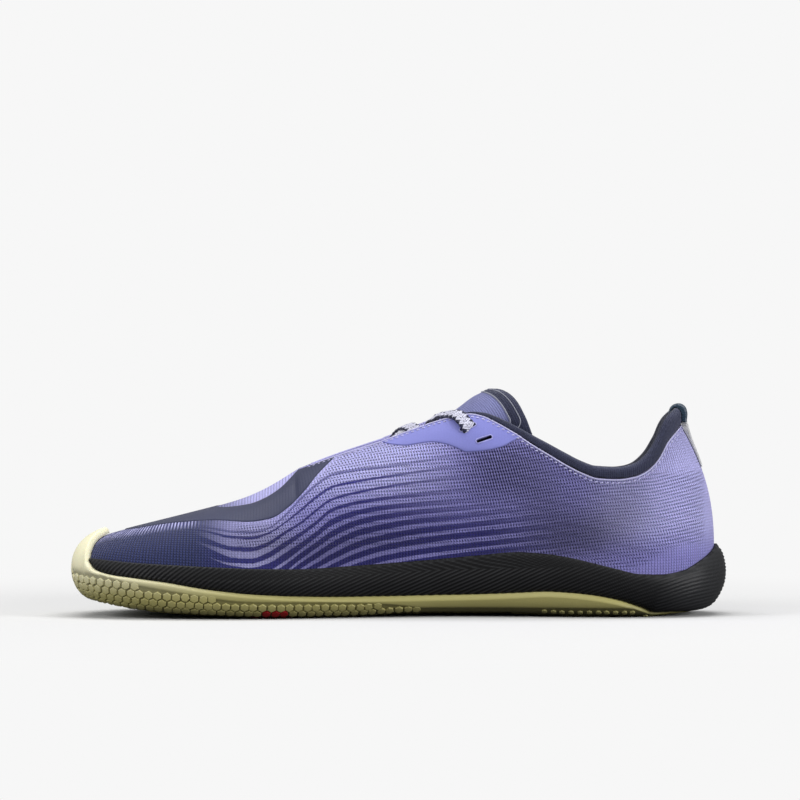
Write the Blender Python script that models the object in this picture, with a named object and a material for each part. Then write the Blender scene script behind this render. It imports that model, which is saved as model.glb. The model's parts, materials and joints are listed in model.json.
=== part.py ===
"""Barefoot shoe for the right foot: knitted upper on a cupped outsole with a ribbed rand.

Every piece is worked out from one last: an outline, a rounded feather edge and ribs that run up to
the top line. Toe towards -X, outer side towards +Y, floor at z = 0.
"""
import bmesh
import bpy
import numpy as np

MM = 0.001

# ---------------------------------------------------------------- sizes, in millimetres
# d runs forward from the back of the heel rand, y is negative on the big-toe (medial) side,
# z is up from the floor. The shoe is for the right foot.
LENGTH = 270.0            # heel rand to toe bumper
GAP = 0.3                 # clearance left between two pieces that are glued or sewn in the real shoe
SLAB = 4.0                # outsole thickness under the foot
KNIT = 1.6                # wall of the knitted upper
ARCH_LIFT = 1.2           # how far the tread clears the floor under the arch

# Last outline and side shape, one row per section from heel to toe.
# d station, med and lat the half-widths of the upper, rise the height of the widest line over the
# sole, inset how far the rounded feather edge turns under, full_m and full_l how boxy each flank is.
SECTION_COLUMNS = ("d", "med", "lat", "rise", "inset_m", "inset_l", "full_m", "full_l")
SECTIONS = (
    (5.7, 0.0, 0.0, 22.0, 10.0, 10.0, 0.39, 0.39),
    (8.1, -11.5, 11.5, 21.5, 10.0, 10.0, 0.40, 0.40),
    (14.0, -20.5, 20.3, 20.5, 9.5, 9.5, 0.42, 0.42),
    (24.0, -27.0, 27.0, 19.0, 9.0, 9.0, 0.42, 0.42),
    (40.0, -31.2, 31.5, 17.5, 8.5, 8.0, 0.42, 0.42),
    (60.0, -31.0, 33.0, 16.5, 9.0, 7.5, 0.42, 0.42),
    (80.0, -28.6, 34.6, 16.0, 10.0, 7.0, 0.42, 0.42),
    (100.0, -26.6, 36.8, 15.5, 10.5, 7.0, 0.43, 0.43),
    (120.0, -26.6, 39.6, 15.0, 10.0, 7.0, 0.44, 0.44),
    (140.0, -29.4, 42.8, 14.0, 9.0, 6.5, 0.46, 0.44),
    (160.0, -34.4, 46.0, 13.0, 7.5, 6.5, 0.49, 0.45),
    (180.0, -39.6, 48.6, 12.2, 6.5, 6.5, 0.52, 0.46),
    (200.0, -42.8, 49.0, 11.5, 6.5, 6.5, 0.55, 0.48),
    (218.0, -43.0, 46.0, 11.0, 6.5, 6.5, 0.57, 0.51),
    (234.0, -41.4, 39.2, 10.5, 6.5, 7.0, 0.58, 0.54),
    (247.0, -38.0, 30.0, 10.0, 7.0, 7.5, 0.58, 0.56),
    (257.0, -32.6, 19.0, 9.8, 7.5, 8.0, 0.58, 0.57),
    (263.6, -25.6, 6.0, 9.6, 8.0, 8.5, 0.58, 0.58),
    (266.8, -14.5, -14.5, 9.5, 8.5, 8.5, 0.58, 0.58),
)

# Top line of the knit from the heel, round the collar, down the throat and along the vamp ridge.
# half is half the opening, lean the slope of the wall there (90 is upright), band and band_lean
# the height and slope of the padded collar above it.
TOP_COLUMNS = ("d", "half", "z", "lean", "band", "band_lean")
TOPLINE = (
    (19.4, 0.0, 77.8, 62.0, 7.4, 92.0),
    (20.0, 4.6, 77.2, 62.0, 7.6, 92.0),
    (22.0, 8.8, 74.9, 65.0, 8.4, 90.0),
    (25.2, 13.0, 71.2, 69.0, 8.8, 88.0),
    (28.5, 16.5, 65.2, 74.0, 8.2, 87.0),
    (33.1, 20.0, 60.2, 80.0, 6.4, 86.0),
    (39.0, 22.9, 57.3, 84.0, 5.2, 86.0),
    (46.2, 25.0, 56.3, 86.0, 4.9, 87.0),
    (54.0, 26.2, 56.7, 86.0, 4.9, 87.0),
    (60.5, 26.4, 58.9, 84.0, 4.8, 85.0),
    (67.2, 26.0, 62.3, 80.0, 4.9, 82.0),
    (74.8, 25.2, 66.8, 74.0, 4.8, 78.0),
    (81.0, 24.3, 70.5, 69.0, 4.6, 74.0),
    (87.3, 23.2, 74.6, 64.0, 3.9, 70.0),
    (92.5, 22.2, 77.6, 60.0, 3.5, 66.0),
    (97.0, 21.3, 80.0, 56.0, 3.0, 62.0),
    (101.5, 20.5, 82.0, 53.0, 2.2, 58.0),
    (106.5, 19.7, 82.9, 50.0, 1.4, 54.0),
    (112.0, 18.9, 82.0, 47.0, 0.9, 50.0),
    (120.0, 17.8, 79.9, 44.0, 0.8, 46.0),
    (130.0, 16.6, 76.4, 41.0, 0.8, 42.0),
    (140.0, 15.3, 72.6, 37.0, 0.8, 38.0),
    (150.0, 13.9, 69.3, 33.0, 0.8, 34.0),
    (160.0, 12.2, 66.0, 28.0, 0.8, 30.0),
    (168.0, 10.3, 63.1, 23.0, 0.8, 24.0),
    (174.0, 7.4, 60.8, 15.0, 0.8, 16.0),
    (177.6, 3.9, 59.4, 7.0, 0.8, 8.0),
    (178.8, 0.0, 58.8, 0.0, 0.8, 0.0),
    (185.4, 0.0, 54.7, 0.0, 0.8, 0.0),
    (192.0, 0.0, 51.1, 0.0, 0.8, 0.0),
    (199.0, 0.0, 48.1, 0.0, 0.8, 0.0),
    (208.0, 0.0, 45.3, 0.0, 0.8, 0.0),
    (220.0, 0.0, 42.2, 0.0, 0.8, 0.0),
    (235.0, 0.0, 38.5, 0.0, 0.8, 0.0),
    (246.0, 0.0, 35.8, 0.0, 0.8, 0.0),
    (251.5, 0.0, 34.4, 0.0, 0.8, 0.0),
)
LATERAL_DROP = 1.6        # the outer ankle's dip sits this much lower
THROAT_D = 178.8          # foot of the lacing slit

# Which point of the top line each outline station runs up to.
RIB_PAIRS = ((5.5, 19.4), (14.0, 24.0), (24.0, 30.5), (40.0, 43.0), (60.0, 60.5), (80.0, 81.0),
             (106.0, 106.5), (140.0, 140.0), (178.0, 178.8), (205.0, 205.0), (232.0, 229.0),
             (250.0, 241.0), (260.0, 247.0), (266.8, 251.5))

# Middle of the opening and of the vamp ridge.
MIDLINE_COLUMNS = ("d", "y")
MIDLINE = ((15.0, 0.0), (60.0, 0.6), (106.0, -1.2), (150.0, -2.8), (178.8, -4.0), (205.0, -6.6),
           (230.0, -9.6), (251.5, -12.6), (262.0, -13.6))

# Height of the foot bed over its lowest level: heel roll and toe spring.
SPRING_COLUMNS = ("d", "z")
SPRING = ((5.0, 4.2), (10.0, 3.0), (16.0, 1.8), (24.0, 0.6), (32.0, 0.0), (100.0, 0.0), (188.0, 0.0),
          (204.0, 0.5), (220.0, 1.3), (236.0, 2.5), (248.0, 4.1), (258.0, 6.2), (266.0, 8.5))

# Heights of the two lines round the shoe: top of the outsole wall and top of the rand.
LINE_COLUMNS = ("d", "out_m", "out_l", "rand_m", "rand_l")
LINES = (
    (5.5, 2.7, 2.7, 29.2, 29.2),
    (7.2, 2.6, 2.6, 26.8, 26.8),
    (11.6, 2.6, 2.6, 23.4, 23.4),
    (19.7, 2.6, 2.6, 19.1, 19.1),
    (28.7, 2.9, 3.1, 17.7, 17.7),
    (37.4, 4.9, 5.0, 18.0, 18.0),
    (46.9, 7.4, 6.9, 20.1, 19.6),
    (56.3, 9.5, 8.2, 22.4, 21.2),
    (65.8, 10.7, 9.0, 24.6, 22.6),
    (75.2, 11.1, 9.4, 26.1, 23.6),
    (87.0, 10.6, 9.4, 26.8, 24.1),
    (102.7, 10.0, 9.3, 25.5, 23.7),
    (121.7, 9.6, 9.2, 23.7, 22.8),
    (140.6, 9.3, 9.1, 22.3, 21.9),
    (159.5, 9.2, 9.0, 21.1, 21.0),
    (176.4, 9.5, 9.4, 20.3, 20.3),
    (193.2, 10.3, 10.3, 20.5, 20.5),
    (212.1, 12.2, 12.3, 21.2, 21.2),
    (231.0, 15.2, 15.3, 22.1, 22.1),
    (243.6, 16.8, 16.9, 22.7, 22.7),
    (253.0, 18.0, 18.1, 23.4, 23.4),
    (259.0, 19.8, 19.9, 23.9, 23.9),
    (262.0, 22.6, 22.8, 24.1, 24.1),
    (267.0, 23.2, 23.2, 24.4, 24.4),
)

# Wall of the rand and of the outsole's side, by station.
WALL_COLUMNS = ("d", "rand", "out")
WALLS = ((5.7, 6.4, 5.0), (12.0, 5.5, 4.8), (24.0, 3.9, 4.0), (38.0, 2.8, 3.2), (60.0, 2.2, 2.7),
         (100.0, 2.0, 2.6), (180.0, 1.8, 2.4), (240.0, 1.6, 2.5), (258.0, 1.3, 2.8), (266.8, 1.2, 3.0))

BUMPER_MED = -28.0        # the toe bumper's two lower corners, as y on the outline
BUMPER_LAT = 8.5
BUMPER_HIGH = 20.0        # how far up the toe it reaches, measured along the upper from its widest line


def column(table, names, name):
    return np.array([row[names.index(name)] for row in table], float)


def loop_spline(x, y, period):
    """Smooth closed curve through the points, as a function of x."""
    x, y, n = np.asarray(x, float), np.asarray(y, float), len(x)
    h = np.diff(np.append(x, x[0] + period))
    a, r = np.zeros((n, n)), np.zeros(n)
    for i in range(n):
        before, after, nxt = h[i - 1], h[i], (i + 1) % n
        a[i, i - 1] += before
        a[i, i] += 2 * (before + after)
        a[i, nxt] += after
        r[i] = 6 * ((y[nxt] - y[i]) / after - (y[i] - y[i - 1]) / before)
    m = np.linalg.solve(a, r)

    def f(q):
        q = np.mod(np.asarray(q, float) - x[0], period) + x[0]
        i = np.clip(np.searchsorted(x, q, side="right") - 1, 0, n - 1)
        j, t = (i + 1) % n, (q - x[i]) / h[i]
        s = 1 - t
        return s * y[i] + t * y[j] + ((s ** 3 - s) * m[i] + (t ** 3 - t) * m[j]) * h[i] ** 2 / 6
    return f


def steady(x, y):
    """Curve through the points that never overshoots them."""
    x, y = np.asarray(x, float), np.asarray(y, float)
    h = np.diff(x)
    s = np.diff(y) / h
    m = np.concatenate([[s[0]], np.zeros(len(x) - 2), [s[-1]]])
    for i in range(1, len(x) - 1):
        if s[i - 1] * s[i] > 0:
            w1, w2 = 2 * h[i] + h[i - 1], h[i] + 2 * h[i - 1]
            m[i] = (w1 + w2) / (w1 / s[i - 1] + w2 / s[i])

    def f(q):
        q = np.clip(np.asarray(q, float), x[0], x[-1])
        i = np.clip(np.searchsorted(x, q, side="right") - 1, 0, len(x) - 2)
        t = (q - x[i]) / h[i]
        return ((2 * t ** 3 - 3 * t ** 2 + 1) * y[i] + (t ** 3 - 2 * t ** 2 + t) * h[i] * m[i]
                + (3 * t ** 2 - 2 * t ** 3) * y[i + 1] + (t ** 3 - t ** 2) * h[i] * m[i + 1])
    return f


def by_d(table, names, name):
    return steady(column(table, names, names[0]), column(table, names, name))


def ease(t):
    t = np.clip(t, 0.0, 1.0)
    return t * t * (3 - 2 * t)


# ---------------------------------------------------------------- the last
# tau runs round the outline: 0 heel, up to 1 along the medial side, 1 toe, back to 2 along the lateral side.
_sd = column(SECTIONS, SECTION_COLUMNS, "d")
_sm = column(SECTIONS, SECTION_COLUMNS, "med")
_sl = column(SECTIONS, SECTION_COLUMNS, "lat")
_chord = (np.hypot(np.diff(_sd), np.diff(_sm)) + np.hypot(np.diff(_sd), np.diff(_sl))) / 2
SECTION_TAU = np.concatenate([[0], np.cumsum(_chord)]) / _chord.sum()
_loop_tau = np.concatenate([SECTION_TAU, 2 - SECTION_TAU[-2:0:-1]])


def _round_loop(medial, lateral):
    return loop_spline(_loop_tau, np.concatenate([medial, lateral[-2:0:-1]]), 2.0)


outline_d = _round_loop(_sd, _sd)
outline_y = _round_loop(_sm, _sl)
rise_of = _round_loop(*[column(SECTIONS, SECTION_COLUMNS, "rise")] * 2)
inset_of = _round_loop(column(SECTIONS, SECTION_COLUMNS, "inset_m"), column(SECTIONS, SECTION_COLUMNS, "inset_l"))
full_of = _round_loop(column(SECTIONS, SECTION_COLUMNS, "full_m"), column(SECTIONS, SECTION_COLUMNS, "full_l"))
midline_y = by_d(MIDLINE, MIDLINE_COLUMNS, "y")
spring_z = by_d(SPRING, SPRING_COLUMNS, "z")
rand_wall = by_d(WALLS, WALL_COLUMNS, "rand")
out_wall = by_d(WALLS, WALL_COLUMNS, "out")
line_of = {name: by_d(LINES, LINE_COLUMNS, name) for name in LINE_COLUMNS[1:]}

# The top line as a curve of its own, mirrored past the heel so that it is round there.
_td, _th, _tz = (column(TOPLINE, TOP_COLUMNS, c) for c in ("d", "half", "z"))
_tq = np.concatenate([[0], np.cumsum(np.sqrt(np.diff(_td) ** 2 + np.diff(_th) ** 2 + np.diff(_tz) ** 2))])
_mq = np.concatenate([-_tq[3:0:-1], _tq])


def _past_heel(values, sign):
    return steady(_mq, np.concatenate([sign * values[3:0:-1], values]))


top_d = _past_heel(_td, 1)
top_half = _past_heel(_th, -1)
top_z = _past_heel(_tz, 1)
top_lean = _past_heel(column(TOPLINE, TOP_COLUMNS, "lean"), 1)
top_band = _past_heel(column(TOPLINE, TOP_COLUMNS, "band"), 1)
top_band_lean = _past_heel(column(TOPLINE, TOP_COLUMNS, "band_lean"), 1)
_q_at_d = steady(_td, _tq)
_tau_at_d = steady(_sd, SECTION_TAU)
_fine = np.linspace(0, 1, 801)
_pair_q = steady([float(_tau_at_d(a)) for a, b in RIB_PAIRS], [float(_q_at_d(b)) for a, b in RIB_PAIRS])(_fine)
_kernel = np.exp(-np.linspace(-2, 2, 41) ** 2)
_kernel /= _kernel.sum()
_pair_q = np.convolve(np.concatenate([-_pair_q[20:0:-1], _pair_q, 2 * _pair_q[-1] - _pair_q[-2:-22:-1]]), _kernel, "valid")


def side_of(tau):
    """tau on one side, from 0 heel to 1 toe, and -1 medial or +1 lateral."""
    tau = np.mod(np.asarray(tau, float), 2.0)
    return np.where(tau > 1, 2 - tau, tau), np.where(tau > 1, 1.0, -1.0)


def top_q(tau):
    return np.interp(side_of(tau)[0], _fine, _pair_q)


def bed_z(d):
    """Where the upper's lower edge rests."""
    return SLAB + GAP + spring_z(d)


def rib_frame(tau):
    """The seven control points of the rib at each tau: feather edge, widest line, top line."""
    tau = np.atleast_1d(np.asarray(tau, float))
    t, side = side_of(tau)
    e = 1e-4
    fd, fy = outline_d(tau), outline_y(tau)
    dd, dy = outline_d(tau + e) - outline_d(tau - e), outline_y(tau + e) - outline_y(tau - e)
    size = np.hypot(dd, dy)
    nd, ny = dy / size, -dd / size
    zeros = np.zeros_like(fd)
    out = np.stack([nd, ny, zeros], 1)
    inset, rise, full = inset_of(tau), rise_of(tau), full_of(tau)
    base = fd - nd * inset
    p0 = np.stack([base, fy - ny * inset, bed_z(base)], 1)
    p1 = np.stack([fd, fy, bed_z(base) + rise], 1)
    q = top_q(tau)
    td, half, tz, lean = top_d(q), top_half(q), top_z(q), np.radians(top_lean(q))
    drop = LATERAL_DROP * ease((td - 22) / 20) * ease((100 - td) / 30)
    tz = tz - np.where(side > 0, drop, 0)
    ty = midline_y(td) + side * half
    top = np.stack([td, ty, tz], 1)
    slope = (top_z(q + 0.5) - top_z(q - 0.5)) / np.maximum(top_d(q + 0.5) - top_d(q - 0.5), 1e-6)
    slope = np.where(td > THROAT_D, np.clip(slope, -0.7, 0.2), -0.35) * (0.4 + 0.6 * ease((td - 120) / 60))
    away = np.stack([fd - td, fy - ty], 1)
    reach = np.hypot(away[:, 0], away[:, 1])
    away = away / reach[:, None]
    down = np.stack([away[:, 0] * np.cos(lean), away[:, 1] * np.cos(lean),
                     -np.sin(lean) + away[:, 0] * np.cos(lean) * slope], 1)
    down /= np.linalg.norm(down, axis=1)[:, None]
    high = tz - p1[:, 2]
    up = np.array([0.0, 0.0, 1.0])
    a1 = p0 + out * (inset * 0.6)[:, None]
    a2 = p1 - up * (rise * 0.58)[:, None]
    b1 = p1 + up * (full * high)[:, None]
    b2 = top + down * (full * (np.cos(lean) * reach + np.sin(lean) * high))[:, None]
    return p0, a1, a2, p1, b1, b2, top


def _bezier(a, b, c, d, t):
    s = 1 - t
    return s ** 3 * a + 3 * s * s * t * b + 3 * s * t * t * c + t ** 3 * d


def rib_point(frame, w):
    """Points of the ribs at w: 0 feather edge, 1 widest line, 2 top line. w is one value a rib, or ribs by levels."""
    w = np.asarray(w, float)
    flat = w.ndim == 1
    w = w[:, None] if flat else w
    p0, a1, a2, p1, b1, b2, top = (c[:, None, :] for c in frame)
    low = _bezier(p0, a1, a2, p1, np.clip(w, 0, 1)[..., None])
    high = _bezier(p1, b1, b2, top, np.clip(w - 1, 0, 1)[..., None])
    p = np.where((w <= 1)[..., None], low, high)
    return p[:, 0] if flat else p


def last_point(tau, w, away=0.0):
    """The outside of the upper at (tau, w), moved away from it along its normal by away millimetres.
    tau has one value a rib, w ribs by levels."""
    tau = np.atleast_1d(np.asarray(tau, float))
    w = np.asarray(w, float)
    w = np.broadcast_to(w, (len(tau), w.shape[-1])) if w.ndim == 1 else w
    e, ew = 4e-4, 4e-3
    wc = np.clip(w, 0, 2 - ew) if np.any(away) else w
    p = rib_point(rib_frame(tau), w)
    if not np.any(away):
        return p
    wn = np.clip(w, ew, 2 - ew)
    here = rib_frame(tau)
    along = rib_point(rib_frame(tau + e), wn) - rib_point(rib_frame(tau - e), wn)
    across = rib_point(here, wn + ew) - rib_point(here, wn - ew)
    n = np.cross(along, across)
    n /= np.maximum(np.linalg.norm(n, axis=2), 1e-12)[..., None]
    # On the vamp ridge both sides share one normal, and at the feather edge it points straight down.
    q = top_q(tau)
    td = top_d(q)
    slope = (top_z(q + 1.0) - top_z(q - 1.0)) / np.maximum(top_d(q + 1.0) - top_d(q - 1.0), 1e-6)
    ridge = np.stack([-slope, np.zeros_like(slope), np.ones_like(slope)], 1)
    ridge /= np.linalg.norm(ridge, axis=1)[:, None]
    share = np.where(td > THROAT_D - 1.0, 1.0, 0.0)[:, None] * ease((w - 1.9) / 0.1)
    n = n * (1 - share[..., None]) + ridge[:, None, :] * share[..., None]
    flat = ease(1 - w / 0.12)[..., None]
    n = n * (1 - flat) + np.array([0.0, 0.0, -1.0]) * flat
    n /= np.linalg.norm(n, axis=2)[..., None]
    away = np.asarray(away, float)
    return p + n * (away[..., None] if away.ndim else away)


_levels = np.linspace(0, 2, 161)


def level_at_height(tau, z):
    """w where each rib passes height z."""
    p = rib_point(rib_frame(tau), np.broadcast_to(_levels, (len(tau), len(_levels))))
    return np.array([np.interp(zz, row[:, 2], _levels) for row, zz in zip(p, z)])


def level_at_reach(tau, reach, start=1.0):
    """w that lies reach millimetres along each rib from w = start."""
    p = rib_point(rib_frame(tau), np.broadcast_to(_levels, (len(tau), len(_levels))))
    out = []
    for row, r in zip(p, reach):
        s = np.concatenate([[0], np.cumsum(np.linalg.norm(np.diff(row, axis=0), axis=1))])
        out.append(np.interp(np.interp(start, _levels, s) + r, s, _levels))
    return np.array(out)


def tau_at_y(y, lateral):
    """tau of the outline point near the toe with this y."""
    t = np.linspace(1.0, 1.25, 2001) if lateral else np.linspace(0.8, 1.0, 2001)
    yy = outline_y(t)
    return float(np.interp(y, yy, t))


BUMPER_TAU = (tau_at_y(BUMPER_MED, False), tau_at_y(BUMPER_LAT, True))


def bumper_share(tau):
    """0 at the bumper's corners and beyond, 1 at its middle."""
    mid, half = (BUMPER_TAU[0] + BUMPER_TAU[1]) / 2, (BUMPER_TAU[1] - BUMPER_TAU[0]) / 2
    s = np.clip(np.abs((np.mod(tau, 2.0) - mid) / half), 0, 1)
    return (1 - s ** 2.3) ** 0.85


def line_height(name, tau):
    d, (t, side) = outline_d(tau), side_of(tau)
    return np.where(side < 0, line_of[name + "_m"](d), line_of[name + "_l"](d))


def out_level(tau):
    """w of the outsole wall's top edge, rising into the toe bumper."""
    tau = np.asarray(tau, float)
    wall = np.maximum(level_at_height(tau, line_height("out", tau)), 0.10)
    p = rib_point(rib_frame(tau), np.broadcast_to(_levels, (len(tau), len(_levels))))
    share = bumper_share(tau)
    out = []
    for row, w0, s in zip(p, wall, share):
        run = np.concatenate([[0], np.cumsum(np.linalg.norm(np.diff(row, axis=0), axis=1))])
        low, high = np.interp(w0, _levels, run), np.interp(1.0, _levels, run) + BUMPER_HIGH
        out.append(np.interp(low + (high - low) * s, run, _levels))
    return np.array(out)


def rand_level(tau):
    """w of the rand's top edge."""
    return level_at_height(tau, line_height("rand", tau))


def sole_away(tau, w, wall):
    """How far the outside of the sole stands from the upper: the slab below, its wall beside."""
    d = outline_d(tau)[:, None]
    bottom = SLAB + GAP
    side = GAP + wall[:, None]
    return bottom + (side - bottom) * ease(w / 0.95)


def arch_lift(d, across):
    """Clearance under the arch. across is -1 at the medial edge and +1 at the lateral edge."""
    along = ease((d - 66) / 26) * ease((158 - d) / 30)
    return ARCH_LIFT * along * (0.55 - 0.45 * across)


# ---------------------------------------------------------------- meshes
HALF_STEPS = 34           # ribs on each side of the shoe, were they even all the way
VAMP_STEPS = 8            # ribs from the foot of the throat to the toe box
TOE_STEPS = 8             # closer ribs round the toe
TOE_TAU = 0.90


def _rib_stations():
    """Evenly spread taus that include the foot of the throat and mirror from side to side."""
    goal = _q_at_d(THROAT_D)
    throat = float(np.interp(goal, _pair_q, _fine))
    behind = int(round(HALF_STEPS * throat))
    t = np.concatenate([np.linspace(0, throat, behind + 1), np.linspace(throat, TOE_TAU, VAMP_STEPS + 1)[1:],
                        np.linspace(TOE_TAU, 1, TOE_STEPS + 1)[1:]])
    return t, behind


HALF_TAU, THROAT_INDEX = _rib_stations()
TAUS = np.concatenate([HALF_TAU, 2 - HALF_TAU[-2:0:-1]])
UPPER_LEVELS = np.array([0, 0.3, 0.55, 0.78, 1.0, 1.12, 1.25, 1.4, 1.55, 1.7, 1.82, 1.92, 2.0])


def to_world(p):
    """Station, side and height to the shoe's frame, in metres: toe towards -X."""
    p = np.asarray(p, float)
    return np.stack([(LENGTH / 2 - p[..., 0]) * MM, p[..., 1] * MM, p[..., 2] * MM], -1)


class Body:
    """Collects quads and triangles, joins shared corners and makes one closed object."""

    def __init__(self):
        self.points, self.faces = [], []

    def grid(self, p, wrap=False):
        rows, cols = p.shape[:2]
        base = sum(len(q) for q in self.points)
        self.points.append(p.reshape(-1, 3))
        for i in range(rows if wrap else rows - 1):
            j = (i + 1) % rows
            for k in range(cols - 1):
                self.faces.append((base + i * cols + k, base + j * cols + k,
                                   base + j * cols + k + 1, base + i * cols + k + 1))

    def strip(self, a, b, wrap=False):
        self.grid(np.stack([a, b], 1), wrap)

    def make(self, name, colour, roughness):
        bm = bmesh.new()
        verts = [bm.verts.new(v) for v in to_world(np.concatenate(self.points))]
        for f in self.faces:
            try:
                bm.faces.new([verts[i] for i in f])
            except ValueError:
                pass
        bmesh.ops.remove_doubles(bm, verts=bm.verts, dist=4e-6)
        bmesh.ops.dissolve_degenerate(bm, dist=1e-6, edges=bm.edges)
        bmesh.ops.triangulate(bm, faces=bm.faces, ngon_method="EAR_CLIP")
        bmesh.ops.recalc_face_normals(bm, faces=bm.faces)
        mesh = bpy.data.meshes.new(name)
        bm.to_mesh(mesh)
        bm.free()
        obj = bpy.data.objects.new(name, mesh)
        home = bpy.data.collections.new(name)
        bpy.context.scene.collection.children.link(home)
        home.objects.link(obj)
        mat = bpy.data.materials.new(name + "_material")
        mat.use_nodes = True
        shader = mat.node_tree.nodes["Principled BSDF"]
        shader.inputs["Base Color"].default_value = (*colour, 1.0)
        shader.inputs["Roughness"].default_value = roughness
        mesh.materials.append(mat)
        return obj


def spine_point(tau, z_of, inward=0.0):
    """Where the ribs of both sides meet under the foot."""
    t = side_of(tau)[0]
    d = 30.0 + (250.0 - 30.0) * (0.5 - 0.5 * np.cos(np.pi * t)) ** 0.9
    y = steady([5, 60, 120, 180, 230, 267], [0, 1.5, 5.0, 3.5, -3.0, -12.0])(d)
    return np.stack([d, y, z_of(d)], 1)


def plate(tau, rim, z_of, fractions):
    """Rings from a rim line in to the spine, with the height from z_of(d, y, across)."""
    spine = spine_point(tau, lambda d: d * 0)
    side = side_of(tau)[1]
    rings = []
    for f in fractions:
        p = rim * (1 - f) + spine * f
        across = np.where((tau < 1e-9) | (np.abs(tau - 1) < 1e-9), 0, side) * (1 - f)
        p[:, 2] = z_of(p[:, 0], p[:, 1], across)
        rings.append(p)
    return np.stack(rings, 1)


def under_sole(d, y, across):
    return spring_z(d) + arch_lift(d, across)


def make_upper():
    body = Body()
    outer = last_point(TAUS, UPPER_LEVELS, 0.0)
    inner = last_point(TAUS, UPPER_LEVELS, -KNIT)
    outer, inner = share_ridge(outer), share_ridge(inner)
    body.grid(outer, wrap=True)
    body.grid(inner, wrap=True)
    body.strip(outer[:, 0], inner[:, 0], wrap=True)
    n = THROAT_INDEX
    edge = np.concatenate([np.arange(len(TAUS) - n, len(TAUS)), np.arange(0, n + 1)])
    body.strip(outer[edge, -1], inner[edge, -1])
    return body


def share_ridge(p):
    """Makes both sides of the vamp end on the very same points."""
    p, n = p.copy(), len(TAUS)
    for i in range(THROAT_INDEX, len(HALF_TAU) - 1):
        j = n - i
        p[i, -1] = p[j, -1] = (p[i, -1] + p[j, -1]) / 2
    return p


def upper_edge_levels(tau, lo, hi, count):
    """count levels from lo to hi on each rib, evenly spread."""
    return lo[:, None] + (hi - lo)[:, None] * np.linspace(0, 1, count)


def levels_up_to(top):
    """The upper's own levels on each rib, none above top and the last one on it."""
    levels = np.minimum(UPPER_LEVELS[None], top[:, None])
    return np.where(levels > top[:, None] - 0.04, top[:, None], levels)


def make_outsole():
    body = Body()
    top = out_level(TAUS)
    wall = out_wall(outline_d(TAUS))
    crest = top - np.clip(0.10 * top, 0.01, 0.05)
    levels = levels_up_to(crest)
    outer = last_point(TAUS, levels, sole_away(TAUS, levels, wall))
    lip = last_point(TAUS, top[:, None], GAP + 0.5 * wall[:, None])
    inner = last_point(TAUS, levels_up_to(top), GAP + 0.05)
    low = under_sole(outer[:, 0, 0], outer[:, 0, 1], np.where(side_of(TAUS)[1] < 0, -1.0, 1.0))
    outer[:, 0, 2] = low
    outer[..., 2] = np.maximum(outer[..., 2], low[:, None])
    body.grid(outer, wrap=True)
    body.strip(outer[:, -1], lip[:, 0], wrap=True)
    body.strip(lip[:, 0], inner[:, -1], wrap=True)
    body.grid(inner, wrap=True)
    body.grid(plate(TAUS, outer[:, 0], under_sole, (0, 0.35, 0.7, 1.0)), wrap=True)
    body.grid(plate(TAUS, inner[:, 0], lambda d, y, a: SLAB - 0.05 + spring_z(d), (0, 0.5, 1.0)), wrap=True)
    return body


def make_rand():
    body = Body()
    full = np.concatenate([TAUS[TAUS > 1] - 2, TAUS[TAUS <= 1]])
    tau = full[(full > BUMPER_TAU[1] - 2 - 0.008) & (full < BUMPER_TAU[0] + 0.008)]
    lo = level_at_reach(tau, level_reach(tau, out_level(tau)) + 0.35, 0.0)
    hi = rand_level(tau)
    hi = np.maximum(hi, lo + 0.04)
    levels = upper_edge_levels(tau, lo, hi, 5)
    wall = rand_wall(outline_d(tau))[:, None]
    swell = wall * np.array([0.75, 1.0, 1.0, 0.86, 0.42])[None, :]
    inner = last_point(tau, levels, GAP)
    outer = last_point(tau, levels, GAP + swell)
    body.grid(outer)
    body.grid(inner)
    body.strip(outer[:, 0], inner[:, 0])
    body.strip(outer[:, -1], inner[:, -1])
    body.strip(outer[0], inner[0])
    body.strip(outer[-1], inner[-1])
    return body


def level_reach(tau, w):
    """How far along each rib, from its feather edge, the level w lies."""
    p = rib_point(rib_frame(tau), np.broadcast_to(_levels, (len(tau), len(_levels))))
    out = []
    for row, w0 in zip(p, w):
        run = np.concatenate([[0], np.cumsum(np.linalg.norm(np.diff(row, axis=0), axis=1))])
        out.append(np.interp(w0, _levels, run))
    return np.array(out)


FOOTBED = 3.0             # footbed thickness
FOOTBED_RISE = 5.0        # its cupped edge, over the feather edge


def make_insole():
    body = Body()
    away = -(KNIT + GAP + 0.15)
    tau = TAUS
    p = last_point(tau, np.broadcast_to(_levels[:60], (len(tau), 60)), away)
    top = np.array([np.interp(bed_z(d) + FOOTBED_RISE, row[:, 2], _levels[:60])
                    for row, d in zip(p, outline_d(tau))])
    levels = np.stack([top * f for f in (0.10, 0.55, 1.0)], 1)
    side = last_point(tau, levels, away)
    foot = last_point(tau, np.array([0.0]), 0.0)[:, 0]
    spine = spine_point(tau, lambda d: d * 0)
    inward = spine - foot
    inward[:, 2] = 0
    inward /= np.linalg.norm(inward, axis=1)[:, None]
    low = foot + inward * 0.45
    low[:, 2] = bed_z(low[:, 0])
    step = foot + inward * 0.45
    step[:, 2] = side[:, 0, 2]
    rim = side[:, -1] + inward * 1.4
    rim[:, 2] = side[:, -1, 2] - 0.1
    body.grid(np.concatenate([low[:, None], step[:, None], side, rim[:, None]], 1), wrap=True)
    body.grid(plate(tau, low, lambda d, y, a: bed_z(d), (0, 0.5, 1.0)), wrap=True)
    rings = [rim]
    for f in (0.25, 1.0):
        r = rim * (1 - f) + spine * f
        lift = (rim[:, 2] - bed_z(rim[:, 0]) - FOOTBED) * max(0.0, 1 - f / 0.25) ** 1.5
        r[:, 2] = bed_z(r[:, 0]) + FOOTBED + lift
        rings.append(r)
    body.grid(np.stack(rings, 1), wrap=True)
    return body


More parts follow.
